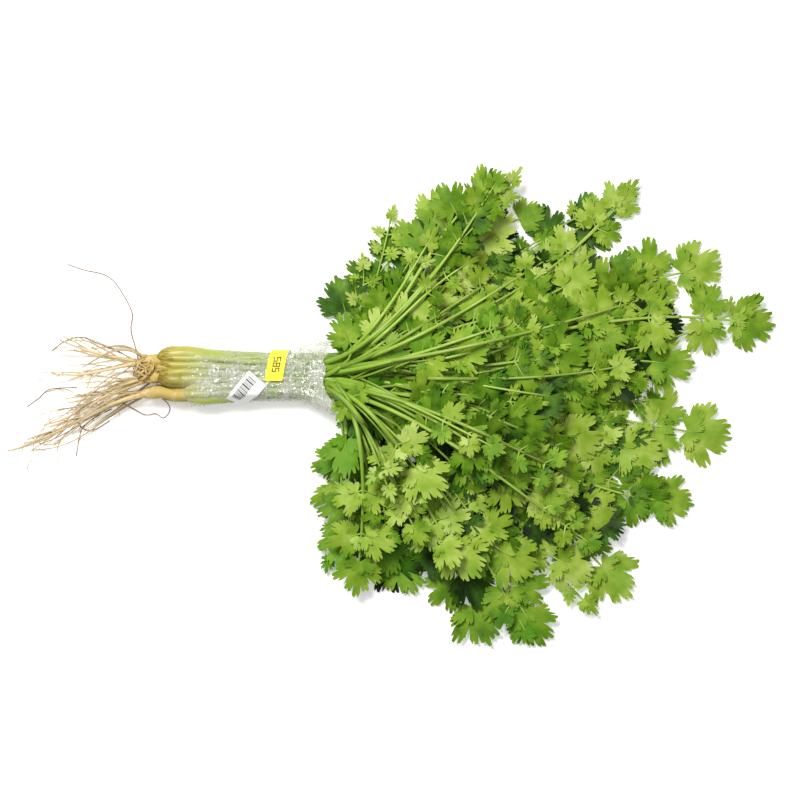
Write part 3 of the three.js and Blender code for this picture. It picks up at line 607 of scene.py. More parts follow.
def leaf(number, row, place, end_x, end_y, turn, pairs, size):
    """One leaf on its CAD node."""
    name = f"leaf_{number:02d}"
    surface = Surface(name)
    random, looks = random_from(SEED + number), random_from(7 * SEED + number)
    random()
    y = ((ROW_COUNTS[row] - 1) / 2 - place) * STALK_PITCH
    z = FIRST_ROW_Z + row * ROW_RISE
    way = stalk_way((SPLAY_X, y), (end_x, end_y), turn)
    spacing = PAIR_SPACING * size
    first_pair = way.length - END_SPACING * size - (pairs - 1) * spacing if pairs else way.length
    steps = min(5, max(1, round(first_pair / STATION_SPACING)))
    stations = [first_pair * k / steps for k in range(steps)]
    for p in range(pairs):
        stations += [first_pair + p * spacing, first_pair + p * spacing + PAIR_WIDTH]
    stations.append(way.length)

    def radius(d):
        if d < first_pair:
            return lerp(STALK_R, R_AT_LEAF, d / first_pair)
        return lerp(R_AT_LEAF, R_AT_TIP, (d - first_pair) / (way.length - first_pair + 1))

    heights = surface.middles(way, stations, radius)
    straight = SPLAY_X - EXIT_X
    fine = [*np.arange(-straight, way.length, 4.0), way.length]
    smooth_heights = smooth_through([-2 * straight, -straight, *stations], [z, z, *heights], fine)
    stalk = sheathed(y, z, looks)
    for d, height in zip(fine, smooth_heights):
        x_at, y_at = (SPLAY_X + d, y) if d < 0 else way.at(d)
        r = radius(max(0.0, d))
        stalk.append((x_at, y_at, max(float(height), r), r * 0.96))
    ways = [stalk]
    blades = Blades()
    # The lower the row, the darker the tone: painted shade.
    tone = lerp(*ROW_TONES, row / 5) + looks(-0.24, 0.22)
    tone += EDGE_TONE * max(smooth((end_x - 150) / 80), smooth((-50 - end_y) / 40))

    def leaflet(foot, heading, reach, teeth, notches, top, tone):
        control, height = cad_leaflet(surface, foot, heading, reach, teeth, notches, random, top)
        dress_leaflet(blades, ways, foot, heading, reach, control, height, tone, top, looks)

    for p in range(pairs):
        k = 2 * (pairs - p)
        back, front = stations[-1 - k], stations[-k]
        foot = [(a + b) / 2 for a, b in zip(way.at(back), way.at(front))]
        for side in (1, -1):
            heading = way.heading(back) + side * radians(SIDE_LEAF_ANGLE + random(-5, 5))
            leaflet(foot, heading, SIDE_REACH * size * random(0.88, 1.05), SIDE_TEETH, SIDE_NOTCHES,
                    heights[-1 - k], tone + looks(-0.1, 0.1))
    leaflet(way.at(way.length), way.heading(way.length), END_REACH * size * random(0.92, 1.08), END_TEETH,
            END_NOTCHES, heights[-1], tone + looks(-0.05, 0.15))
    stalks = grow(name + "_stalk", ways, stalk_green, sides=10)
    piece = join(name + "_dressed", blades.made(name + "_blades"), stalks)
    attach(piece, "root")
    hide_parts(name)


entries = [(row, place, *entry) for row, leaves in enumerate(LEAVES) for place, entry in enumerate(leaves)]
for number, entry in enumerate(entries, 1):
    leaf(number, *entry)


# Outer sheaths close round the stalks of the three upper plants, swollen and pale: [x, y, z, radius].
SHEATH_LOBES = [
    [(-49, 9.5, 14, 2.0), (-45.5, 11, 15.2, 3.8), (-39, 11.6, 15.4, 4.4), (-30, 11.5, 15.2, 4.2),
     (-20, 10.6, 14.8, 3.2), (-8, 9.8, 14.4, 1.8)],
    [(-49, -0.5, 14, 2.0), (-45, -1.6, 15.4, 3.7), (-38, -2.2, 15.8, 4.3), (-31, -2.2, 15.4, 3.4),
     (-20, -2, 15, 2.0)],
    [(-36, -8, 12.5, 2.2), (-31.5, -9.8, 13.6, 3.9), (-25, -10.8, 13.2, 4.5), (-17, -10.6, 12.6, 3.9),
     (-6, -9.8, 12.2, 2.4)],
]
LOBE_POINTS = 18
lobes = [smooth_line([k[0] for k in knots], knots, np.linspace(knots[0][0], knots[-1][0], LOBE_POINTS))
         for knots in SHEATH_LOBES]
sheaths = grow("outer_sheaths", lobes, stalk_green, sides=20, unevenness=1.1, lump=5.0)
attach(sheaths, "root")


# ---- Small inner leaves.
# Between the full-grown leaves stand younger ones on thinner stalks, with one or two pairs of small leaflets.
# They fill the heap from inside; one group lies on top, long bare stalks with little leaflets at their ends.
# The lower a group lies in the heap, the darker its tint: painted shade for the depths of the heap.
INNER_GROUPS = [
    # (name, leaves, depth in the heap, tint, size, stalk radius), the three in the middle as (from, to)
    ("inner_leaves_lowest", 34, (0.08, 0.35), (-0.14, 0.08), (0.8, 1.1), 0.9),
    ("inner_leaves_low", 26, (0.3, 0.6), (-0.12, 0.2), (0.75, 1.0), 0.9),
    ("inner_leaves_middle", 24, (0.5, 0.8), (0.0, 0.4), (0.65, 0.95), 0.95),
    ("inner_leaves_high", 20, (0.7, 1.0), (0.15, 0.7), (0.5, 0.8), 1.0),
    ("stalks_on_top", 16, (1.03, 1.08), (0.3, 0.85), (0.5, 0.75), 1.4),
    ("fine_inner_leaves", 26, (0.75, 1.02), (0.1, 0.5), (0.4, 0.6), 0.7),
    ("sprigs", 16, (0.7, 0.95), (0.2, 0.75), (0.4, 0.6), 0.8),
]
NEAR_STALK = 2.0
TOP_CLEARANCE = 6.0
NO_LEAF_TOP = 4.0
BARE_LENGTH = 16.0
LEAST_END_X = 72.0

# Leaflets that show beyond the full-grown leaves are lifted to no darker than LIT_TONE, and those covered by
# HIDDEN_UNDER or more keep their own tint: painted light and shade by how covered they are. Only high ones
# have free lobes.
LIT_TONE = 0.4
HIDDEN_UNDER = 9
LOBES_ABOVE = 0.65

# Where the bare stalks on top end, in arcs to both sides: [end in plan, turn of the end in degrees, size].
TOP_STALKS = [((127, 97), 12, 0.6), ((116, 76), 4, 0.55), ((110, 56), -5, 0.5), ((130, 51), 0, 0.6),
              ((154, 60), 6, 0.6), ((148, 30), 0, 0.55), ((190, 4), 8, 0.6), ((122, -34), -6, 0.55),
              ((72, -55), -10, 0.5), ((85, -76), -6, 0.55), ((164, -50), -6, 0.6), ((80, -64), -14, 0.45),
              ((205, 40), 5, 0.6), ((175, -85), -5, 0.6), ((92, 66), 10, 0.5), ((54, 15), 70, 0.85)]

# A few small sprigs reach out at the heap's edge, given in the same way. The smallest have ferny leaflets.
SPRIGS = [((74, 82), 12, 0.42), ((56, 42), 30, 0.38), ((199, 95), 24, 0.5), ((190, 92), -10, 0.45),
          ((42, -95), -14, 0.4), ((143, -130), -10, 0.6), ((124, 99), 20, 0.5), ((262, 36), 20, 0.5),
          ((176, -118), -6, 0.5), ((66, -88), -20, 0.5), ((57, 20), 40, 0.6), ((55, -20), -60, 0.6),
          ((60, -30), -50, 0.75), ((66, 32), 30, 0.6), ((60, 55), 24, 0.4), ((137, 101), 10, 0.45)]
NARROW_SIZE = 0.5
NARROW_TEETH = [(-52, 0.62), (-28, 0.78), (0, 1.06), (28, 0.78), (52, 0.62)]
NARROW_NOTCHES = [0.34, 0.4, 0.4, 0.34]


class Heap(Surface):
    """The top of all the CAD's leaves together."""

    def __init__(self):
        corners, faces = [], []
        for name, leaf_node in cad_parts.items():
            if name.startswith("leaf_"):
                start = len(corners)
                corners += [v.co for v in leaf_node.data.vertices]
                faces += [[start + k for k in p.vertices] for p in leaf_node.data.polygons]
        self.tree = BVHTree.FromPolygons(corners, faces)

    def top(self, x, y, around):
        """The highest place within a distance of x and y."""
        return max((self.height(x + dx, y + dy) or NO_LEAF_TOP) for dx, dy in cross(around))


heap = Heap()
looks = random_from(11 * SEED)
ends = [entry[:2] for leaves in LEAVES for entry in leaves]
GIVEN_ENDS = {"stalks_on_top": TOP_STALKS, "sprigs": SPRIGS}
for name, count, depths, tints, sizes, thick in INNER_GROUPS:
    blades, ways = Blades(), []
    on_top = depths[0] > 1
    for k in range(count):
        one, other = ends[int(looks() * len(ends))], ends[int(looks() * len(ends))]
        share = looks(0.1, 0.5)
        end = [lerp(a, b, share) * looks(0.8, 1.0) for a, b in zip(one, other)]
        end[0] = max(end[0], LEAST_END_X)
        size = looks(*sizes)
        pairs = 1 + int(looks() * 2)
        depth = looks(*depths)
        start = (SPLAY_X - 6, looks(-9, 9))
        turn_at_end = looks(-22, 22)
        if name in GIVEN_ENDS:
            end, turn_at_end, size = GIVEN_ENDS[name][k]
            start = (start[0], end[1] * 0.07 + looks(-2.5, 2.5))
        narrow = size <= NARROW_SIZE or name == "fine_inner_leaves"
        way = stalk_way(start, end, turn_at_end)
        spacing = PAIR_SPACING * size
        first_pair = way.length - END_SPACING * size - (pairs - 1) * spacing
        fine = [*np.arange(0, way.length, 5.0), way.length]
        sampled = [0.0, *np.linspace(way.length * 0.25, way.length, 7)]
        first = looks(13, 16.5) if on_top else looks(4, 14)
        around = TOP_CLEARANCE if on_top else NEAR_STALK
        tops = [first] + [heap.top(*way.at(d), around) * depth for d in sampled[1:]]
        heights = [max(float(h), 1.0) for h in smooth_through(sampled, tops, fine)]
        ways.append([(*way.at(d), h, lerp(thick, 0.5, d / way.length)) for d, h in zip(fine, heights)])
        tone = looks(*tints)
        places = []
        for p in range(pairs):
            d = first_pair + p * spacing
            if d > BARE_LENGTH:
                places += [(d, side * radians(looks(50, 78)), SIDE_REACH, SIDE_TEETH, SIDE_NOTCHES)
                           for side in (1, -1)]
        places.append((way.length, 0.0, END_REACH, END_TEETH, END_NOTCHES))
        for d, turn, full_reach, teeth, notches in places:
            if narrow:
                teeth, notches = NARROW_TEETH, NARROW_NOTCHES
            foot, heading = way.at(d), way.heading(d) + turn
            z = max(float(np.interp(d, fine, heights)), 1.0)
            reach = full_reach * size * looks(0.75, 1.05)
            pitch, roll = looks(-0.3, 0.3), looks(-0.5, 0.5)
            control = uneven_outline(teeth, notches, reach, looks, 4, (0.9, 1.06), (0.9, 1.08))

            def height(along, across, z=z, pitch=pitch, roll=roll):
                return z + pitch * along + roll * across

            outside = heap.height(*beside(foot, heading, reach * 0.6)) is None
            cover = 0.0 if outside else heap.top(*foot, 4.0) - z
            # Painted light and shade: a leaflet's tint is lifted the less it is covered.
            tone_painted_by_cover = lerp(max(tone, LIT_TONE), tone, smooth(cover / HIDDEN_UNDER))
            dress_leaflet(blades, ways, foot, heading, reach, control, height,
                          tone_painted_by_cover + looks(-0.1, 0.1), z, looks, small_lobes=depth > LOBES_ABOVE,
                          bands=(SMALL_BANDS, ONE_BAND))
    piece = join(name, blades.made(name + "_blades"), grow(name + "_stalks", ways, stalk_green, 7))
    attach(piece, "root")


# ---- Crowns and roots.
# Each of the six plants ends in a crown, where the pale sheaths of its stalks close round each other, and a
# thin forked taproot with side roots and fine hair roots. They were rinsed of soil and have dried a little.
CROWN_X = -46.3
CROWN_HALF_HEIGHT = 3.85
CROWN_LENGTH = 13.0
CROWN_END = 0.42
CROWN_SHAPE = [(0, 1, 0), (4, 1, 0), (9, 0.72, -1.2), (CROWN_LENGTH, CROWN_END, -2.4)]
TAPROOT_R = 1.5
ROOT_TIP_R = 0.4
SIDE_ROOT_HALF = 0.42
SIDE_ROOT_PAIRS = 4
SIDE_ROOT_STEPS = 4
HAIR_STEPS = 14
HAIR_TIP_R = 0.12

# Fine roots that run on beside each taproot, and a few long hairs that lie out on the table, in plan.
FELLOWS = 3
LONG_HAIRS = [
    [(-61, 8), (-62, 13), (-65.2, 24.4), (-64.7, 33.9), (-68.9, 42.9), (-74.2, 50.9), (-80.6, 55.1),
     (-90.1, 57.2), (-99.6, 60.4)],
    [(-70, 12.5), (-83.7, 18), (-92.2, 21.2), (-100.7, 19.1), (-108.1, 13.8)],
    [(-94, -6), (-108.7, -6.9), (-115, -11.7), (-121.4, -16.4)],
    [(-75.3, -17.5), (-84.8, -22.3), (-91.2, -27.6), (-93.3, -33.9), (-94.9, -42.9)],
    [(-94.3, -22.3), (-91.2, -28.1), (-84.8, -28.6), (-76.9, -23.9)],
    [(-70, -14), (-63.6, -17.5), (-57.2, -20.7), (-52, -20), (-48, -22.3), (-44.5, -18.5), (-46, -14),
     (-53, -9)],
]
TANGLE_AT = (-54, 4, 11.5)
TANGLE_HALF = (8, 6.8, 6.5)
TANGLE_ROOTS = 70

# Rinsed root skin: matt and fibrous, pale straw at the crown and light brown towards the tips.
root_skin, tree, skin = finish("Rinsed coriander root")
place = node(tree, "TexCoord").outputs["Object"]
spread = node(tree, "SeparateXYZ", Vector=place)
down = node(tree, "MapRange", Value=spread.outputs["X"], From_Min=-47 * MM, From_Max=-110 * MM)
fibres = node(tree, "TexNoise", Vector=place, Scale=1 / (2.2 * MM), Detail=4.0)
fibred = node(tree, "MapRange", Value=fibres, From_Min=0.3, From_Max=0.7, To_Min=-0.2, To_Max=0.2)
shade = node(tree, "Math", operation="ADD", i0=down, i1=fibred)
tan = node(tree, "ValToRGB", Fac=shade)
ROOT_TANS = [(0.0, 0xBEAC5E), (0.08, 0xC6AA6C), (0.3, 0xD8C496), (0.6, 0xDECCA8), (1.0, 0xD0BA90)]
set_stops(tan, ROOT_TANS)
own = node(tree, "Attribute", attribute_name="own_shade")
apart = node(tree, "MapRange", Value=own.outputs["Fac"], To_Min=0.68, To_Max=1.12)
differing = node(tree, "HueSaturation", Value=apart, Color=tan)
rough = node(tree, "Bump", Strength=0.6, Distance=0.3 * MM, Height=fibres)
feed(skin, Base_Color=differing, Normal=rough, Roughness=0.75)

# The longest and finest root hairs have dried to a dull grey-brown.
dry_hair, *_ = finish("Dried coriander root hair", Base_Color=hex_colour(0x8E7864), Roughness=0.8)


def hair_root(start, heading, reach, wander, random, r):
    """A fine root that wanders over the table."""
    x, y, z = start
    points = [(x, y, z, r)]
    bend = 0.0
    for k in range(1, HAIR_STEPS + 1):
        bend = 0.6 * bend + random(-wander, wander)
        heading += bend
        x, y = beside((x, y), heading, reach / HAIR_STEPS)
        z = max(r, z * 0.78 + 0.15 * random())
        points.append((x, y, z, lerp(r, HAIR_TIP_R, k / HAIR_STEPS)))
    return points


random = random_from(SEED)
hairs = random_from(3 * SEED)
for name, crown_y, crown_z, half_width, end, bow, side_root in PLANTS:
    surface = Surface("root_" + name)
    away = Vector((end[0] - CROWN_X, end[1] - crown_y))
    side_x, side_y = Vector((-away.y, away.x)).normalized() * bow
    way = Way((CROWN_X, crown_y), (CROWN_X - away.length * 0.35, crown_y),
              (lerp(CROWN_X, end[0], 0.7) + side_x, lerp(crown_y, end[1], 0.7) + side_y), end)

    def root_radius(d):
        if d == CROWN_LENGTH:
            return CROWN_HALF_HEIGHT * CROWN_END
        return lerp(TAPROOT_R, ROOT_TIP_R, d / way.length)

    branches = [lerp(16, way.length * 0.68, p / (SIDE_ROOT_PAIRS - 1)) for p in range(SIDE_ROOT_PAIRS)]
    stations = [CROWN_LENGTH]
    for d in branches:
        stations += [d, d + 2 * SIDE_ROOT_HALF]
    stations += [way.length * 0.85, way.length - 0.1]
    heights = surface.middles(way, stations, root_radius)
    crown = [(crown_z + drop, half_width * share) for _, share, drop in CROWN_SHAPE]
    taproot = []
    for (d, _, _), (z, wide) in zip(CROWN_SHAPE, crown):
        taproot.append((*way.at(d + 0.3), z, wide * (0.85 if d == 0 else 1.0)))
    fine = [*np.arange(15.0, way.length, 3.0), way.length]
    for d, z in zip(fine, smooth_through(stations, heights, fine)):
        slimmer = lerp(1.0, 0.86, smooth((d - CROWN_LENGTH) / 20))
        taproot.append((*way.at(d), max(float(z), 0.45), root_radius(d) * slimmer))
    lead = []
    if name == "high_right":
        later_y, later_z = spread_out(LATER_FOOT_X, crown_y, crown_z)
        lead = [(LATER_FOOT_X + 3, later_y, later_z, 1.6), (LATER_FOOT_X, later_y, later_z, 2.6),
                (LATER_FOOT_X - 5, later_y, later_z, 3.1)]
    ways = [lead + taproot]
    for p, d in enumerate(branches):
        for side in (1, -1):
            heading = way.heading(d) + side * radians(random(20, 25) - 3 * p)
            bend = -side * radians(random(1, 3))
            reach = side_root * random(0.7, 1.1) * (1 - 0.4 * p / SIDE_ROOT_PAIRS)
            x, y = way.at(d + SIDE_ROOT_HALF)
            branch = [(x, y, heights[1 + 2 * p], SIDE_ROOT_HALF)]
            for k in range(1, SIDE_ROOT_STEPS + 1):
                x, y = beside((x, y), heading, reach / SIDE_ROOT_STEPS)
                heading += bend
                top = surface.height(x, y)
                z = max(0.3, top - SIDE_ROOT_HALF if top is not None else branch[-1][2] * 0.7)
                branch.append((x, y, z, lerp(0.38, 0.14, k / SIDE_ROOT_STEPS)))
            ways.append(branch)
            if side * (-1) ** p > 0:
                start = branch[1 + int(hairs() * 3)][:3]
                ways.append(hair_root(start, heading + hairs(-0.5, 0.5), hairs(12, 26), 0.16, hairs, r=0.2))
    for _ in range(FELLOWS):
        begin, stop = hairs(3, 12), way.length * hairs(0.6, 1.02)
        swing = hairs(-9, 9) + (-7 if name == "high_left" else 0)
        turn, lift = hairs(0, 3), hairs(-1.5, 4.0)
        thick = hairs(0.28, 0.8)
        fellow = []
        for t in np.linspace(0, 1, 16):
            d = lerp(begin, stop, t)
            (x, y), ahead = way.at(min(d, way.length)), way.heading(d)
            off = swing * sin(pi * min(1.0, 0.9 * t)) + 1.1 * sin(turn + 7 * t)
            z = float(np.interp(d, [0, CROWN_LENGTH, *fine], [crown_z, *(p[2] for p in taproot[3:])]))
            z = max(z + lift * sin(pi * t) + 0.4, 0.4)
            fellow.append((*beside((x, y), ahead, 0, off), z, lerp(thick, 0.2, t)))
        ways.append(fellow)
    piece = grow(f"root_{name}_dressed", ways, root_skin, sides=8, unevenness=0.5, lump=3.0)
    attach(piece, "root")
    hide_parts("root_" + name)


hair_ways = []
for line in LONG_HAIRS:
    count = 5 * len(line)
    places = smooth_line(range(len(line)), line, np.linspace(0, len(line) - 1, count))
    hair_ways.append([(x, y, max(3.0 * (1 - 2 * t), 0.25), lerp(0.34, 0.24, t))
                      for (x, y), t in zip(places, np.linspace(0, 1, count))])
ball_ways = []
for _ in range(TANGLE_ROOTS):
    axis = Vector([hairs(-1, 1) for _ in range(3)]).normalized()
    first = axis.orthogonal().normalized()
    second = axis.cross(first)
    begin, sweep, swell = hairs(0, 6.3), hairs(0.9, 2.6), hairs(0.8, 1.08)
    thick = hairs(0.3, 0.85)
    arc = []
    for t in np.linspace(0, 1, 10):
        a = begin + sweep * t
        way_out = (first * cos(a) + second * sin(a)) * (swell + 0.1 * sin(5 * t + begin))
        arc.append((*(c + h * w for c, h, w in zip(TANGLE_AT, TANGLE_HALF, way_out)), lerp(thick, 0.25, t)))
    ball_ways.append(arc)
BALL_CORE = [(-61, 3.5, 10, 1.5), (-58, 4, 11, 4.2), (-53, 4, 11.5, 5.2), (-48, 4, 11.5, 4.0),
             (-45, 4, 11, 2)]
DRIED_SHEATHS = [
    [(-49, 4.8, 14, 1.6), (-45, 5, 16, 2.4), (-41, 5.4, 16.9, 2.6), (-36, 5, 17.0, 2.3),
     (-31, 4.6, 16.9, 1.9), (-26, 4.4, 16.4, 1.0)],
    [(-47, -6, 11, 1.4), (-42, -6.8, 13, 2.2), (-37, -7.2, 14.4, 2.0), (-32, -7, 15.2, 1.2)],
]
ball_ways += [BALL_CORE, *DRIED_SHEATHS]
ball = grow("root_ball", ball_ways, root_skin, sides=6, unevenness=1.0, lump=3.0)
hair = grow("hair_roots", hair_ways, dry_hair, sides=5)
for piece in (ball, hair):
    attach(piece, "root")


# ---- Film.
# Several turns of thin clear stretch film, pulled tight round the stalks by hand, so it clings, wrinkles and
# stands off in loose flaps at its ends.
GAP = 0.3
FILM_THICK = 0.6
FILM_START_X = -36
FILM_END_X = 39.5
FILM_RINGS = [(-36, 0.5), (-30, 0.12), (-14, 0.0), (26, 0.0), (34, 0.15), (39.5, 1.0)]
ARC_STEPS = 6


def bundle_outline(distance):
    """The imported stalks' outline with rounded corners, that far outside their middles."""
    widest, top = ROW_COUNTS.index(max(ROW_COUNTS)), len(ROW_COUNTS) - 1

    def end(row, side):
        return side * (ROW_COUNTS[row] - 1) * STALK_PITCH / 2, FIRST_ROW_Z + row * ROW_RISE

    corners = [end(0, 1), end(widest, 1), end(top, 1), end(top, -1), end(widest, -1), end(0, -1)]
    outline = []
    for k, (y, z) in enumerate(corners):
        before, after = corners[k - 1], corners[(k + 1) % len(corners)]
        start = atan2(before[0] - y, z - before[1])
        turn = (atan2(y - after[0], after[1] - z) - start) % (2 * pi)
        for step in range(ARC_STEPS + 1):
            a = start + turn * step / ARC_STEPS
            out = Vector((cos(a), sin(a)))
            outline.append((Vector((y, z)) + out * distance, out))
    return outline


class FilmWalk:
    """The way round the film from the middle of its top, towards -Y, by length."""

    def __init__(self, distance):
        outline = bundle_outline(distance)
        k = max(range(len(outline)), key=lambda i: (round(outline[i][0].y, 4), -outline[i][0].x))
        ring = outline[k:] + outline[:k]
        if ring[0][0].x > 0:
            ring.reverse()
        middle = (Vector((0.0, outline[k][0].y)), Vector((0.0, 1.0)))
        self.points = [middle, *ring, middle]
        steps = [(a[0] - b[0]).length for a, b in zip(self.points, self.points[1:])]
        self.lengths = np.concatenate([[0], np.cumsum(steps)])
        self.total = self.lengths[-1]

    def at(self, length):
        """The place and the outward direction there, in Y and Z."""
        length %= self.total
        k = min(len(self.points) - 2, max(0, int(np.searchsorted(self.lengths, length)) - 1))
        t = (length - self.lengths[k]) / max(1e-9, self.lengths[k + 1] - self.lengths[k])
        spot, out = (a.lerp(b, t) for a, b in zip(self.points[k], self.points[k + 1]))
        return spot, out.normalized()


def shell(name, points, rows, columns, material, closed=False):
    """A thin sheet from its outer and its inner points, row by row, open or closed round its columns."""
    wide = columns if closed else columns + 1
    under = wide * (rows + 1)
    flat = [(j * wide + i, j * wide + (i + 1) % wide) for j in range(rows) for i in range(columns)]
    quads = [(a, b, b + wide, a + wide) for a, b in flat]
    faces = [(a, d, c, b) for a, b, c, d in quads] + [tuple(k + under for k in q) for q in quads]
    edge = [quad[:2] for quad in quads[:columns]] + [quad[2:] for quad in quads[-columns:]]
    if not closed:
        edge += [quad[1:3] for quad in quads[columns - 1::columns]]
        edge += [(quad[3], quad[0]) for quad in quads[::columns]]
    faces += [(a, b, b + under, a + under) for a, b in edge]
    return mesh_object(name, points, faces, material)


# Stretch film, polyethylene: clear and glossy, milky in its creases and where several turns lie together.
# Its white crease flecks and fold lines, more of them towards the leaf end, are partly that milkiness and
# partly painted glints.
film_clear, tree, skin = finish("Clear polyethylene stretch film")
place = node(tree, "TexCoord").outputs["Object"]
stretched = node(tree, "Mapping", Vector=place, Rotation=(0.3, 0.5, 0.9), Scale=(1.0, 0.35, 0.6))
creases = node(tree, "TexNoise", Vector=stretched, Scale=1 / (1.3 * MM), Detail=3.0, Distortion=2.2)
spread = node(tree, "SeparateXYZ", Vector=place)
# More crease flecks towards the leaf end, where the film is gathered: partly painted glints.
gathered = node(tree, "MapRange", Value=spread.outputs["X"], From_Min=8 * MM, From_Max=34 * MM, To_Min=0.0,
                To_Max=0.042)
busier = node(tree, "Math", operation="ADD", i0=creases, i1=gathered)
crease_milk_and_glints = node(tree, "MapRange", Value=busier, From_Min=0.61, From_Max=0.66, To_Min=0.0, To_Max=0.8)
bent = node(tree, "TexNoise", Vector=place, Scale=1 / (4 * MM), Detail=2.0)
bend = node(tree, "VectorMath", operation="SCALE", i0=bent.outputs["Color"], Scale=3 * MM)
bent_place = node(tree, "VectorMath", operation="ADD", i0=stretched, i1=bend)
# Thin white fold lines: partly milky creases, partly painted glints.
folds = node(tree, "TexVoronoi", feature="DISTANCE_TO_EDGE", Vector=bent_place, Scale=1 / (2.1 * MM))
fold_milk_and_glints = node(tree, "MapRange", Value=folds, From_Min=0.02, From_Max=0.07, To_Min=0.85, To_Max=0.0)
some = node(tree, "MapRange", Value=bent, From_Min=0.46, From_Max=0.54)
shown_folds_and_glints = node(tree, "Math", operation="MULTIPLY", i0=fold_milk_and_glints, i1=some)
turns = node(tree, "TexNoise", Vector=place, Scale=1 / (11 * MM), Detail=3.0)
layered = node(tree, "MapRange", Value=turns, From_Min=0.35, From_Max=0.6, To_Min=0.12, To_Max=0.42)
creases_and_glints = node(tree, "Math", operation="MAXIMUM", i0=crease_milk_and_glints, i1=shown_folds_and_glints)
milky_and_glints = node(tree, "Math", operation="MAXIMUM", i0=creases_and_glints, i1=layered)
thinner = node(tree, "MapRange", Value=spread.outputs["X"], From_Min=-37 * MM, From_Max=-22 * MM)
few_turns = node(tree, "MapRange", Value=spread.outputs["Y"], From_Min=3 * MM, From_Max=8 * MM, To_Min=1.0,
                 To_Max=0.4)
bunched = node(tree, "MapRange", Value=spread.outputs["X"], From_Min=2 * MM, From_Max=18 * MM)
turned = node(tree, "Math", operation="MAXIMUM", i0=few_turns, i1=bunched)
part = node(tree, "Math", operation="MULTIPLY", i0=thinner, i1=turned)
seen = node(tree, "Math", operation="MULTIPLY", i0=milky_and_glints, i1=part)
wrinkles = node(tree, "TexNoise", Vector=place, Scale=1 / (1.6 * MM), Detail=3.0, Distortion=1.2)
glints = node(tree, "Bump", Strength=0.6, Distance=0.3 * MM, Height=wrinkles)
feed(skin, Base_Color=hex_colour(0xDCDDD0), Alpha=seen, Normal=glints, Roughness=0.12, IOR=1.5,
     Coat_Weight=1.0, Coat_Roughness=0.05)

FILM_ROWS = 96
FILM_COLUMNS = 110
FILM_SHEET = 0.12

# The loose flaps at the leaf end: [direction round the film in radians, reach, where it begins in x].
FLAPS = [(-0.55, 8.5, 22.0), (0.35, 6.0, 8.0)]
FLAP_HALF_TURN = 0.55
FLAP_LONGER = 6.0
RAGGED_END = 3.2
walk = FilmWalk(STALK_R + GAP + FILM_THICK)


def near_flap(out, towards):
    """How much a place round the film belongs to a flap, from its outward direction."""
    angle = atan2(out.y, out.x)
    side = pi + towards if towards < 0 else towards
    return exp(-(((angle - side + pi) % (2 * pi) - pi) / FLAP_HALF_TURN) ** 2)


def film_stand_off(x, length, out):
    """How far the film stands off the stalks: flared at its ends and flaps, ridged and finely crinkled."""
    flare = float(np.interp(x, *zip(*FILM_RINGS)))
    at = Vector((x * 0.11, length * 0.34, 0.0))
    ridge = 1 - abs(noise.noise(at * 2.2) * 2)
    fine = noise.noise(Vector((x * 0.55, length * 0.5, 4.0)))
    crinkle = 0.45 * ridge**3 + 0.28 * fine
    for towards, reach, begin in FLAPS:
        flare += reach * near_flap(out, towards) * smooth((x - begin) / (FILM_END_X - begin)) ** 1.5
    return flare + crinkle - 0.2


points = []
for side in (0, 1):
    for row in range(FILM_ROWS + 1):
        x = lerp(FILM_START_X, FILM_END_X, row / FILM_ROWS)
        for column in range(FILM_COLUMNS):
            length = walk.total * column / FILM_COLUMNS
            spot, out = walk.at(length)
            stand = film_stand_off(x, length, out) - side * FILM_SHEET
            at_end = row in (0, FILM_ROWS)
            ragged = RAGGED_END * noise.noise(Vector((length * 0.16, row, 2.0))) if at_end else 0.0
            longer = max(near_flap(out, towards) for towards, _, _ in FLAPS)
            x_there = x + ragged + FLAP_LONGER * longer * smooth((x - 28) / 12)
            y, z = spread_out(x, spot.x + out.x * stand, spot.y + out.y * stand)
            points.append((x_there * MM, y * MM, max(z, side * FILM_SHEET) * MM))
film = shell("film_wrap", points, FILM_ROWS, FILM_COLUMNS, film_clear, closed=True)
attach(film, "root")
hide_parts("film_sleeve")


# ---- Date tape and price label.
# A piece of yellow adhesive tape stamped with plain numbers, and a small white paper label printed with bars.
# Both are pressed onto the film by hand, a little askew.
STICKER_THICK = 0.16
TAPE_CENTRE_X = 12.9
TAPE_WIDTH = 9.5
TAPE_LEAN = 0.18
TAPE_FROM = -21
TAPE_TO = 2.6
TAPE_LENGTH = TAPE_TO - TAPE_FROM
LABEL_WIDTH = 12
LABEL_LENGTH = 19
LABEL_CENTRE = (-2.2, 8.2)
LABEL_TURN = 132
STICKER_LIFT = 0.6
DIGIT_SIZE = 1.7
DIGIT_SPACING = 1.6
DIGITS_AT = (2.9, 11.2)


def on_film(x, length, lift):
    spot, out = walk.at(length)
    y, z = spread_out(x, spot.x + out.x * lift, spot.y + out.y * lift)
    return x * MM, y * MM, z * MM


def sticker(name, flat, across, down, lift, thick, material, slot, replaced=None):
    """A sheet on the film: flat(u, v) gives x and the length round the film for u and v from 0 to 1."""
    points = [on_film(*flat(i / across, j / down), lift + top * thick)
              for top in (1, 0) for j in range(down + 1) for i in range(across + 1)]
    made = shell(name, points, down, across, material)
    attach(made, "root")
    if replaced:
        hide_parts(replaced)
    return made


# Adhesive tape: smooth dyed film with a satin shine.
tape_yellow, *_ = finish("Yellow polypropylene tape", Base_Color=hex_colour(0xF6E62C), Roughness=0.4)

# Label paper: white, coated, matt.
label_paper, *_ = finish("Coated label paper", Base_Color=hex_colour(0xF1F1EF), Roughness=0.55)

# Stamped and printed ink: matt grey-black.
ink, *_ = finish("Printing ink", Base_Color=hex_colour(0x34342C), Roughness=0.6)


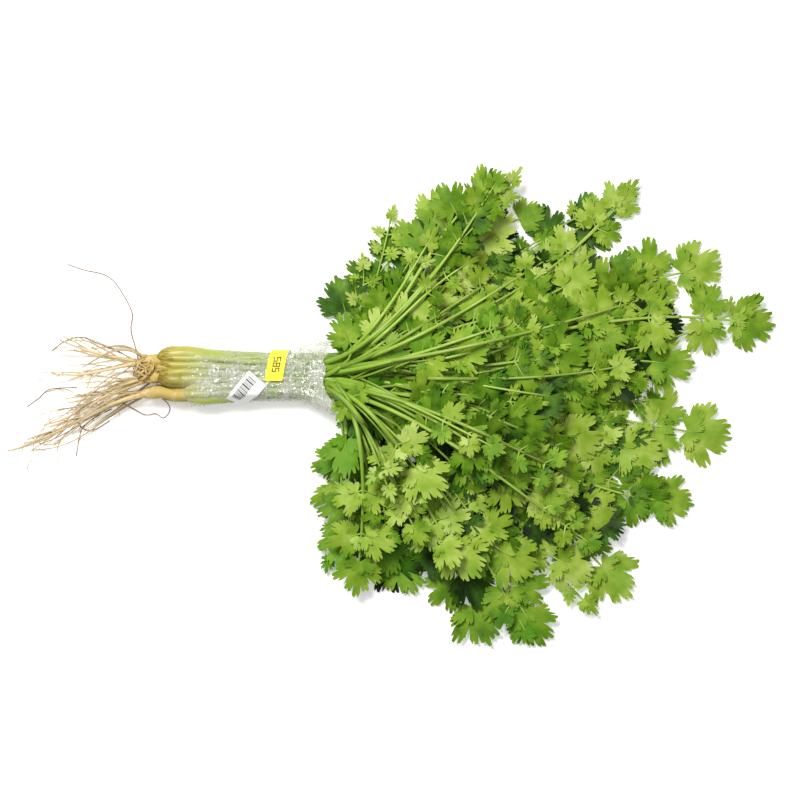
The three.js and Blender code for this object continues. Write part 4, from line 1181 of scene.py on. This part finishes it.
def tape_flat(u, v):
    length = lerp(TAPE_FROM, TAPE_TO, v)
    return TAPE_CENTRE_X - TAPE_LEAN * length + TAPE_WIDTH * (u - 0.5), length


def label_flat(u, v):
    a, b = LABEL_LENGTH * (u - 0.5), LABEL_WIDTH * (v - 0.5)
    return beside(LABEL_CENTRE, radians(LABEL_TURN), a, b)


sheet = (STICKER_LIFT, STICKER_THICK)
sticker("date_tape_strip", tape_flat, 4, 40, *sheet, tape_yellow, "tape", "date_tape")
sticker("price_label_paper", label_flat, 28, 18, *sheet, label_paper, "label", "price_label")

# Seven-stroke digits: (u, v, width, height) of each stroke in a cell of 1 by 2, and each digit's strokes.
STROKES = {"top": (0, 2, 1, 0), "middle": (0, 1, 1, 0), "foot": (0, 0, 1, 0), "left_up": (0, 1, 0, 1),
           "right_up": (1, 1, 0, 1), "left_down": (0, 0, 0, 1), "right_down": (1, 0, 0, 1)}
DIGITS = {
    "5": ("top", "middle", "foot", "left_up", "right_down"),
    "8": ("top", "middle", "foot", "left_up", "right_up", "left_down", "right_down"),
}
INK_LIFT = STICKER_LIFT + STICKER_THICK + 0.01
INK_THICK = 0.03
LINE = 0.5


def print_bar(name, flat, slot, low_u, low_v, high_u, high_v):
    def part(u, v):
        return flat(lerp(low_u, high_u, u), lerp(low_v, high_v, v))

    return sticker(name, part, 2, 8, INK_LIFT, INK_THICK, ink, slot)


def print_digits(name, words, at, cell):
    """Digits along the tape's length, read from its side."""
    bars = []
    for n, digit in enumerate(words):
        for stroke in DIGITS[digit]:
            a, b, wide, tall = STROKES[stroke]
            v, u = at[1] + (n * DIGIT_SPACING + a) * cell, at[0] + b * cell
            far_v, far_u = v + wide * cell + LINE, u + tall * cell + LINE
            bars.append(print_bar(f"{name}_{n}_{stroke}", tape_flat, "tape", u / TAPE_WIDTH, v / TAPE_LENGTH,
                                  far_u / TAPE_WIDTH, far_v / TAPE_LENGTH))
    return join(name, *bars)


print_digits("date_digits", "585", DIGITS_AT, DIGIT_SIZE)

# The label's bars, by their widths, from BARS_FROM along it and across the given share of it.
BARS = [0.5, 0.3, 0.8, 0.3, 0.4, 0.9, 0.3, 0.5, 0.3, 0.7, 0.4, 0.3, 0.8, 0.5]
BARS_FROM = 2.2
BAR_GAP = 0.5
BARS_ACROSS = (0.42, 0.86)
bars = []
left = BARS_FROM
for n, wide in enumerate(BARS):
    bars.append(print_bar(f"bar_{n}", label_flat, "label", left / LABEL_LENGTH, BARS_ACROSS[0],
                          (left + wide) / LABEL_LENGTH, BARS_ACROSS[1]))
    left += wide + BAR_GAP
join("price_bars", *bars)


# ---- Table.
# A plain matt white table top that the bunch lies on. It glows a little, so that it stays white under the
# leaves' light as it does in a bright room.
WHITE = hex_colour(0xFFFFFF)
table_white, *_ = finish("White table", Base_Color=WHITE, Roughness=0.9, Emission_Color=WHITE,
                         Emission_Strength=0.2)
bpy.ops.mesh.primitive_plane_add(size=6.0, location=(0.08, 0, -0.0005))
floor = bpy.context.object
floor.name = "table"
floor.data.materials.append(table_white)


# ---- Light and camera.
# The bright, even light of a room with one window, and a camera straight above the bunch.
scene = bpy.context.scene
scene.view_settings.view_transform = "Standard"
scene.view_settings.look = "Medium High Contrast"
world = bpy.data.worlds.new("Soft white room")
scene.world = world
world.use_nodes = True
feed(world.node_tree.nodes["Background"], Color=(1, 1, 1, 1), Strength=0.17)

# A window's light from the far left and a wide soft one from the ceiling: name, place, size, power.
AIM = Vector((0.08, 0, 0))
LIGHTS = [("window", (-0.25, 0.45, 1.0), 0.4, 11.8), ("ceiling", (0.3, -0.1, 1.7), 0.8, 5.8)]
for name, at, size_m, power in LIGHTS:
    light = bpy.data.lights.new(name, "AREA")
    light.shape = "SQUARE"
    light.size = size_m
    light.energy = power
    lamp = linked(name, light)
    lamp.location = at
    lamp.rotation_euler = (AIM - Vector(at)).to_track_quat("-Z", "Y").to_euler()

# The camera looks straight down. At SHARP_HEIGHT a pixel of the 800 x 800 picture is 0.53 mm.
PIXEL = 0.53
PHOTO_SIZE = 800
ORIGIN_PIXEL = (250, 376)
CAMERA_HEIGHT = 1.15
SHARP_HEIGHT = 0.018
centre_x = (PHOTO_SIZE / 2 - ORIGIN_PIXEL[0]) * PIXEL * MM
centre_y = (ORIGIN_PIXEL[1] - PHOTO_SIZE / 2) * PIXEL * MM
camera = bpy.data.cameras.new("camera")
camera.sensor_width = 36
camera.lens = camera.sensor_width * (CAMERA_HEIGHT - SHARP_HEIGHT) / (PHOTO_SIZE * PIXEL * MM)
viewer = linked("camera", camera)
viewer.location = (centre_x, centre_y, CAMERA_HEIGHT)
scene.camera = viewer
